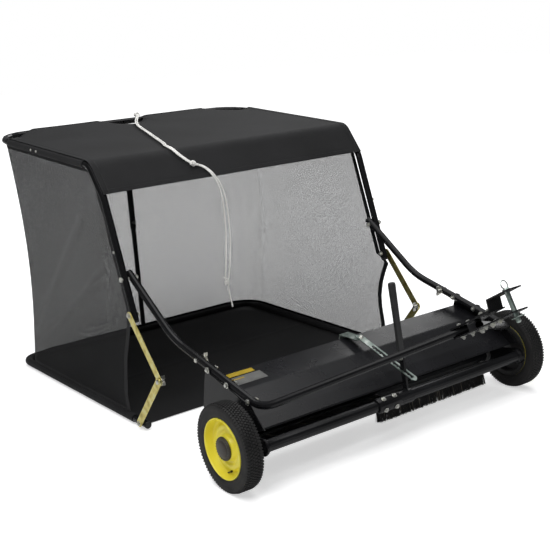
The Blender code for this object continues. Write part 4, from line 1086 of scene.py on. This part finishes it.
def sleeves():
    """Cloth sleeves sewn round the hopper's tubes."""
    corner = Vector((HOPPER_X, HOPPER_BACK, FLOOR_Z))
    first = Vector((HOPPER_X, 0.700, FLOOR_Z))
    flip = Vector((-1, 1, 1))
    path = rounded((first * flip, corner * flip, corner, first), 0.060, 6)
    bm = bmesh.new()
    tube(bm, resample(path, 0.012), 0.0146, 20,
         lambda s, a: 1 + 0.035 * noise.noise(Vector((s * 9, math.cos(a), math.sin(a)))))
    rim_sleeve = piece("floor_sleeve", bm, "canopy_fabric", "hopper_floor", sharp=70)
    for side, sign in SIDES:
        start = Vector((sign * HOPPER_X, TOP_FRONT.y + 0.030, top_height(TOP_FRONT.y + 0.030)))
        end = Vector((sign * HOPPER_X, HOPPER_BACK - 0.150, top_height(HOPPER_BACK - 0.150)))
        bm = bmesh.new()
        tube(bm, resample([start, end], 0.010), 0.0144, 20,
             lambda s, a: 1 + 0.03 * noise.noise(Vector((s * 9, math.cos(a), math.sin(a)))))
        top_sleeve = piece("top_sleeve_" + side, bm, "canopy_fabric", "hopper", sharp=70)


canopy()
walls()
floor_cloth()
sleeves()

# ---- floor, world and lights
bm = bmesh.new()
bmesh.ops.create_grid(bm, x_segments=8, y_segments=8, size=14.0)
floor_mesh = bpy.data.meshes.new("studio_floor")
bm.to_mesh(floor_mesh)
bm.free()
floor = bpy.data.objects.new("studio_floor", floor_mesh)
floor.location = (0, 0, -0.0012)
bpy.context.scene.collection.objects.link(floor)
ground = Surface("studio_floor", roughness=0.9)
far = ground.node("ShaderNodeVectorMath", operation="LENGTH")
ground.link(ground.coords.outputs["Object"], far.inputs[0])
glow = ground.node("ShaderNodeMapRange")
for key, value in (("From Min", 1.5), ("From Max", 5.0), ("To Min", 0.55), ("To Max", 1.1)):
    glow.inputs[key].default_value = value
ground.link(far.outputs["Value"], glow.inputs["Value"])
sight = ground.node("ShaderNodeLightPath")        # only the camera sees the glow, so the paint stays black
lift = ground.node("ShaderNodeMath", operation="MULTIPLY")
ground.link(glow.outputs["Result"], lift.inputs[0])
ground.link(sight.outputs["Is Camera Ray"], lift.inputs[1])
ground.link(lift.outputs["Value"], ground.shader.inputs["Emission Strength"])
ground.set(Emission_Color=(1, 1, 1, 1))
ground.colour(ground.noise(0.5, 2.0), (0.3, (0.90, 0.90, 0.90)), (0.7, (0.93, 0.93, 0.93)))
floor_mesh.materials.append(ground.mat)
world = bpy.data.worlds.new("studio")
bpy.context.scene.world = world
world.use_nodes = True
tree = world.node_tree
seen = tree.nodes["Background"]
lit = tree.nodes.new("ShaderNodeBackground")
for shade, colour, strength in ((seen, (1, 1, 1, 1), 1.0), (lit, (0.96, 0.98, 1.0, 1), 0.16)):
    shade.inputs["Color"].default_value = colour
    shade.inputs["Strength"].default_value = strength
ray = tree.nodes.new("ShaderNodeLightPath")
mix = tree.nodes.new("ShaderNodeMixShader")
tree.links.new(ray.outputs["Is Camera Ray"], mix.inputs[0])
tree.links.new(lit.outputs[0], mix.inputs[1])
tree.links.new(seen.outputs[0], mix.inputs[2])
tree.links.new(mix.outputs[0], tree.nodes["World Output"].inputs["Surface"])


def area_light(name, place, target, size, power):
    data = bpy.data.lights.new(name, "AREA")
    data.shape = "RECTANGLE"
    data.size = size[0]
    data.size_y = size[1]
    data.energy = power
    obj = bpy.data.objects.new(name, data)
    bpy.context.scene.collection.objects.link(obj)
    obj.location = place
    obj.rotation_euler = (Vector(target) - Vector(place)).to_track_quat("-Z", "Y").to_euler()


area_light("overhead", (0, 0, 4.6), (0, 0, 0), (5.0, 5.0), 175)
area_light("key", (-2.5, -2.0, 3.6), (0, 0, 0.4), (2.0, 1.4), 58)
area_light("rim", (2.6, 2.8, 2.6), (0, 0.3, 0.6), (2.2, 1.0), 20)
bpy.context.scene.view_settings.view_transform = "Standard"
bpy.context.scene.view_settings.look = "None"
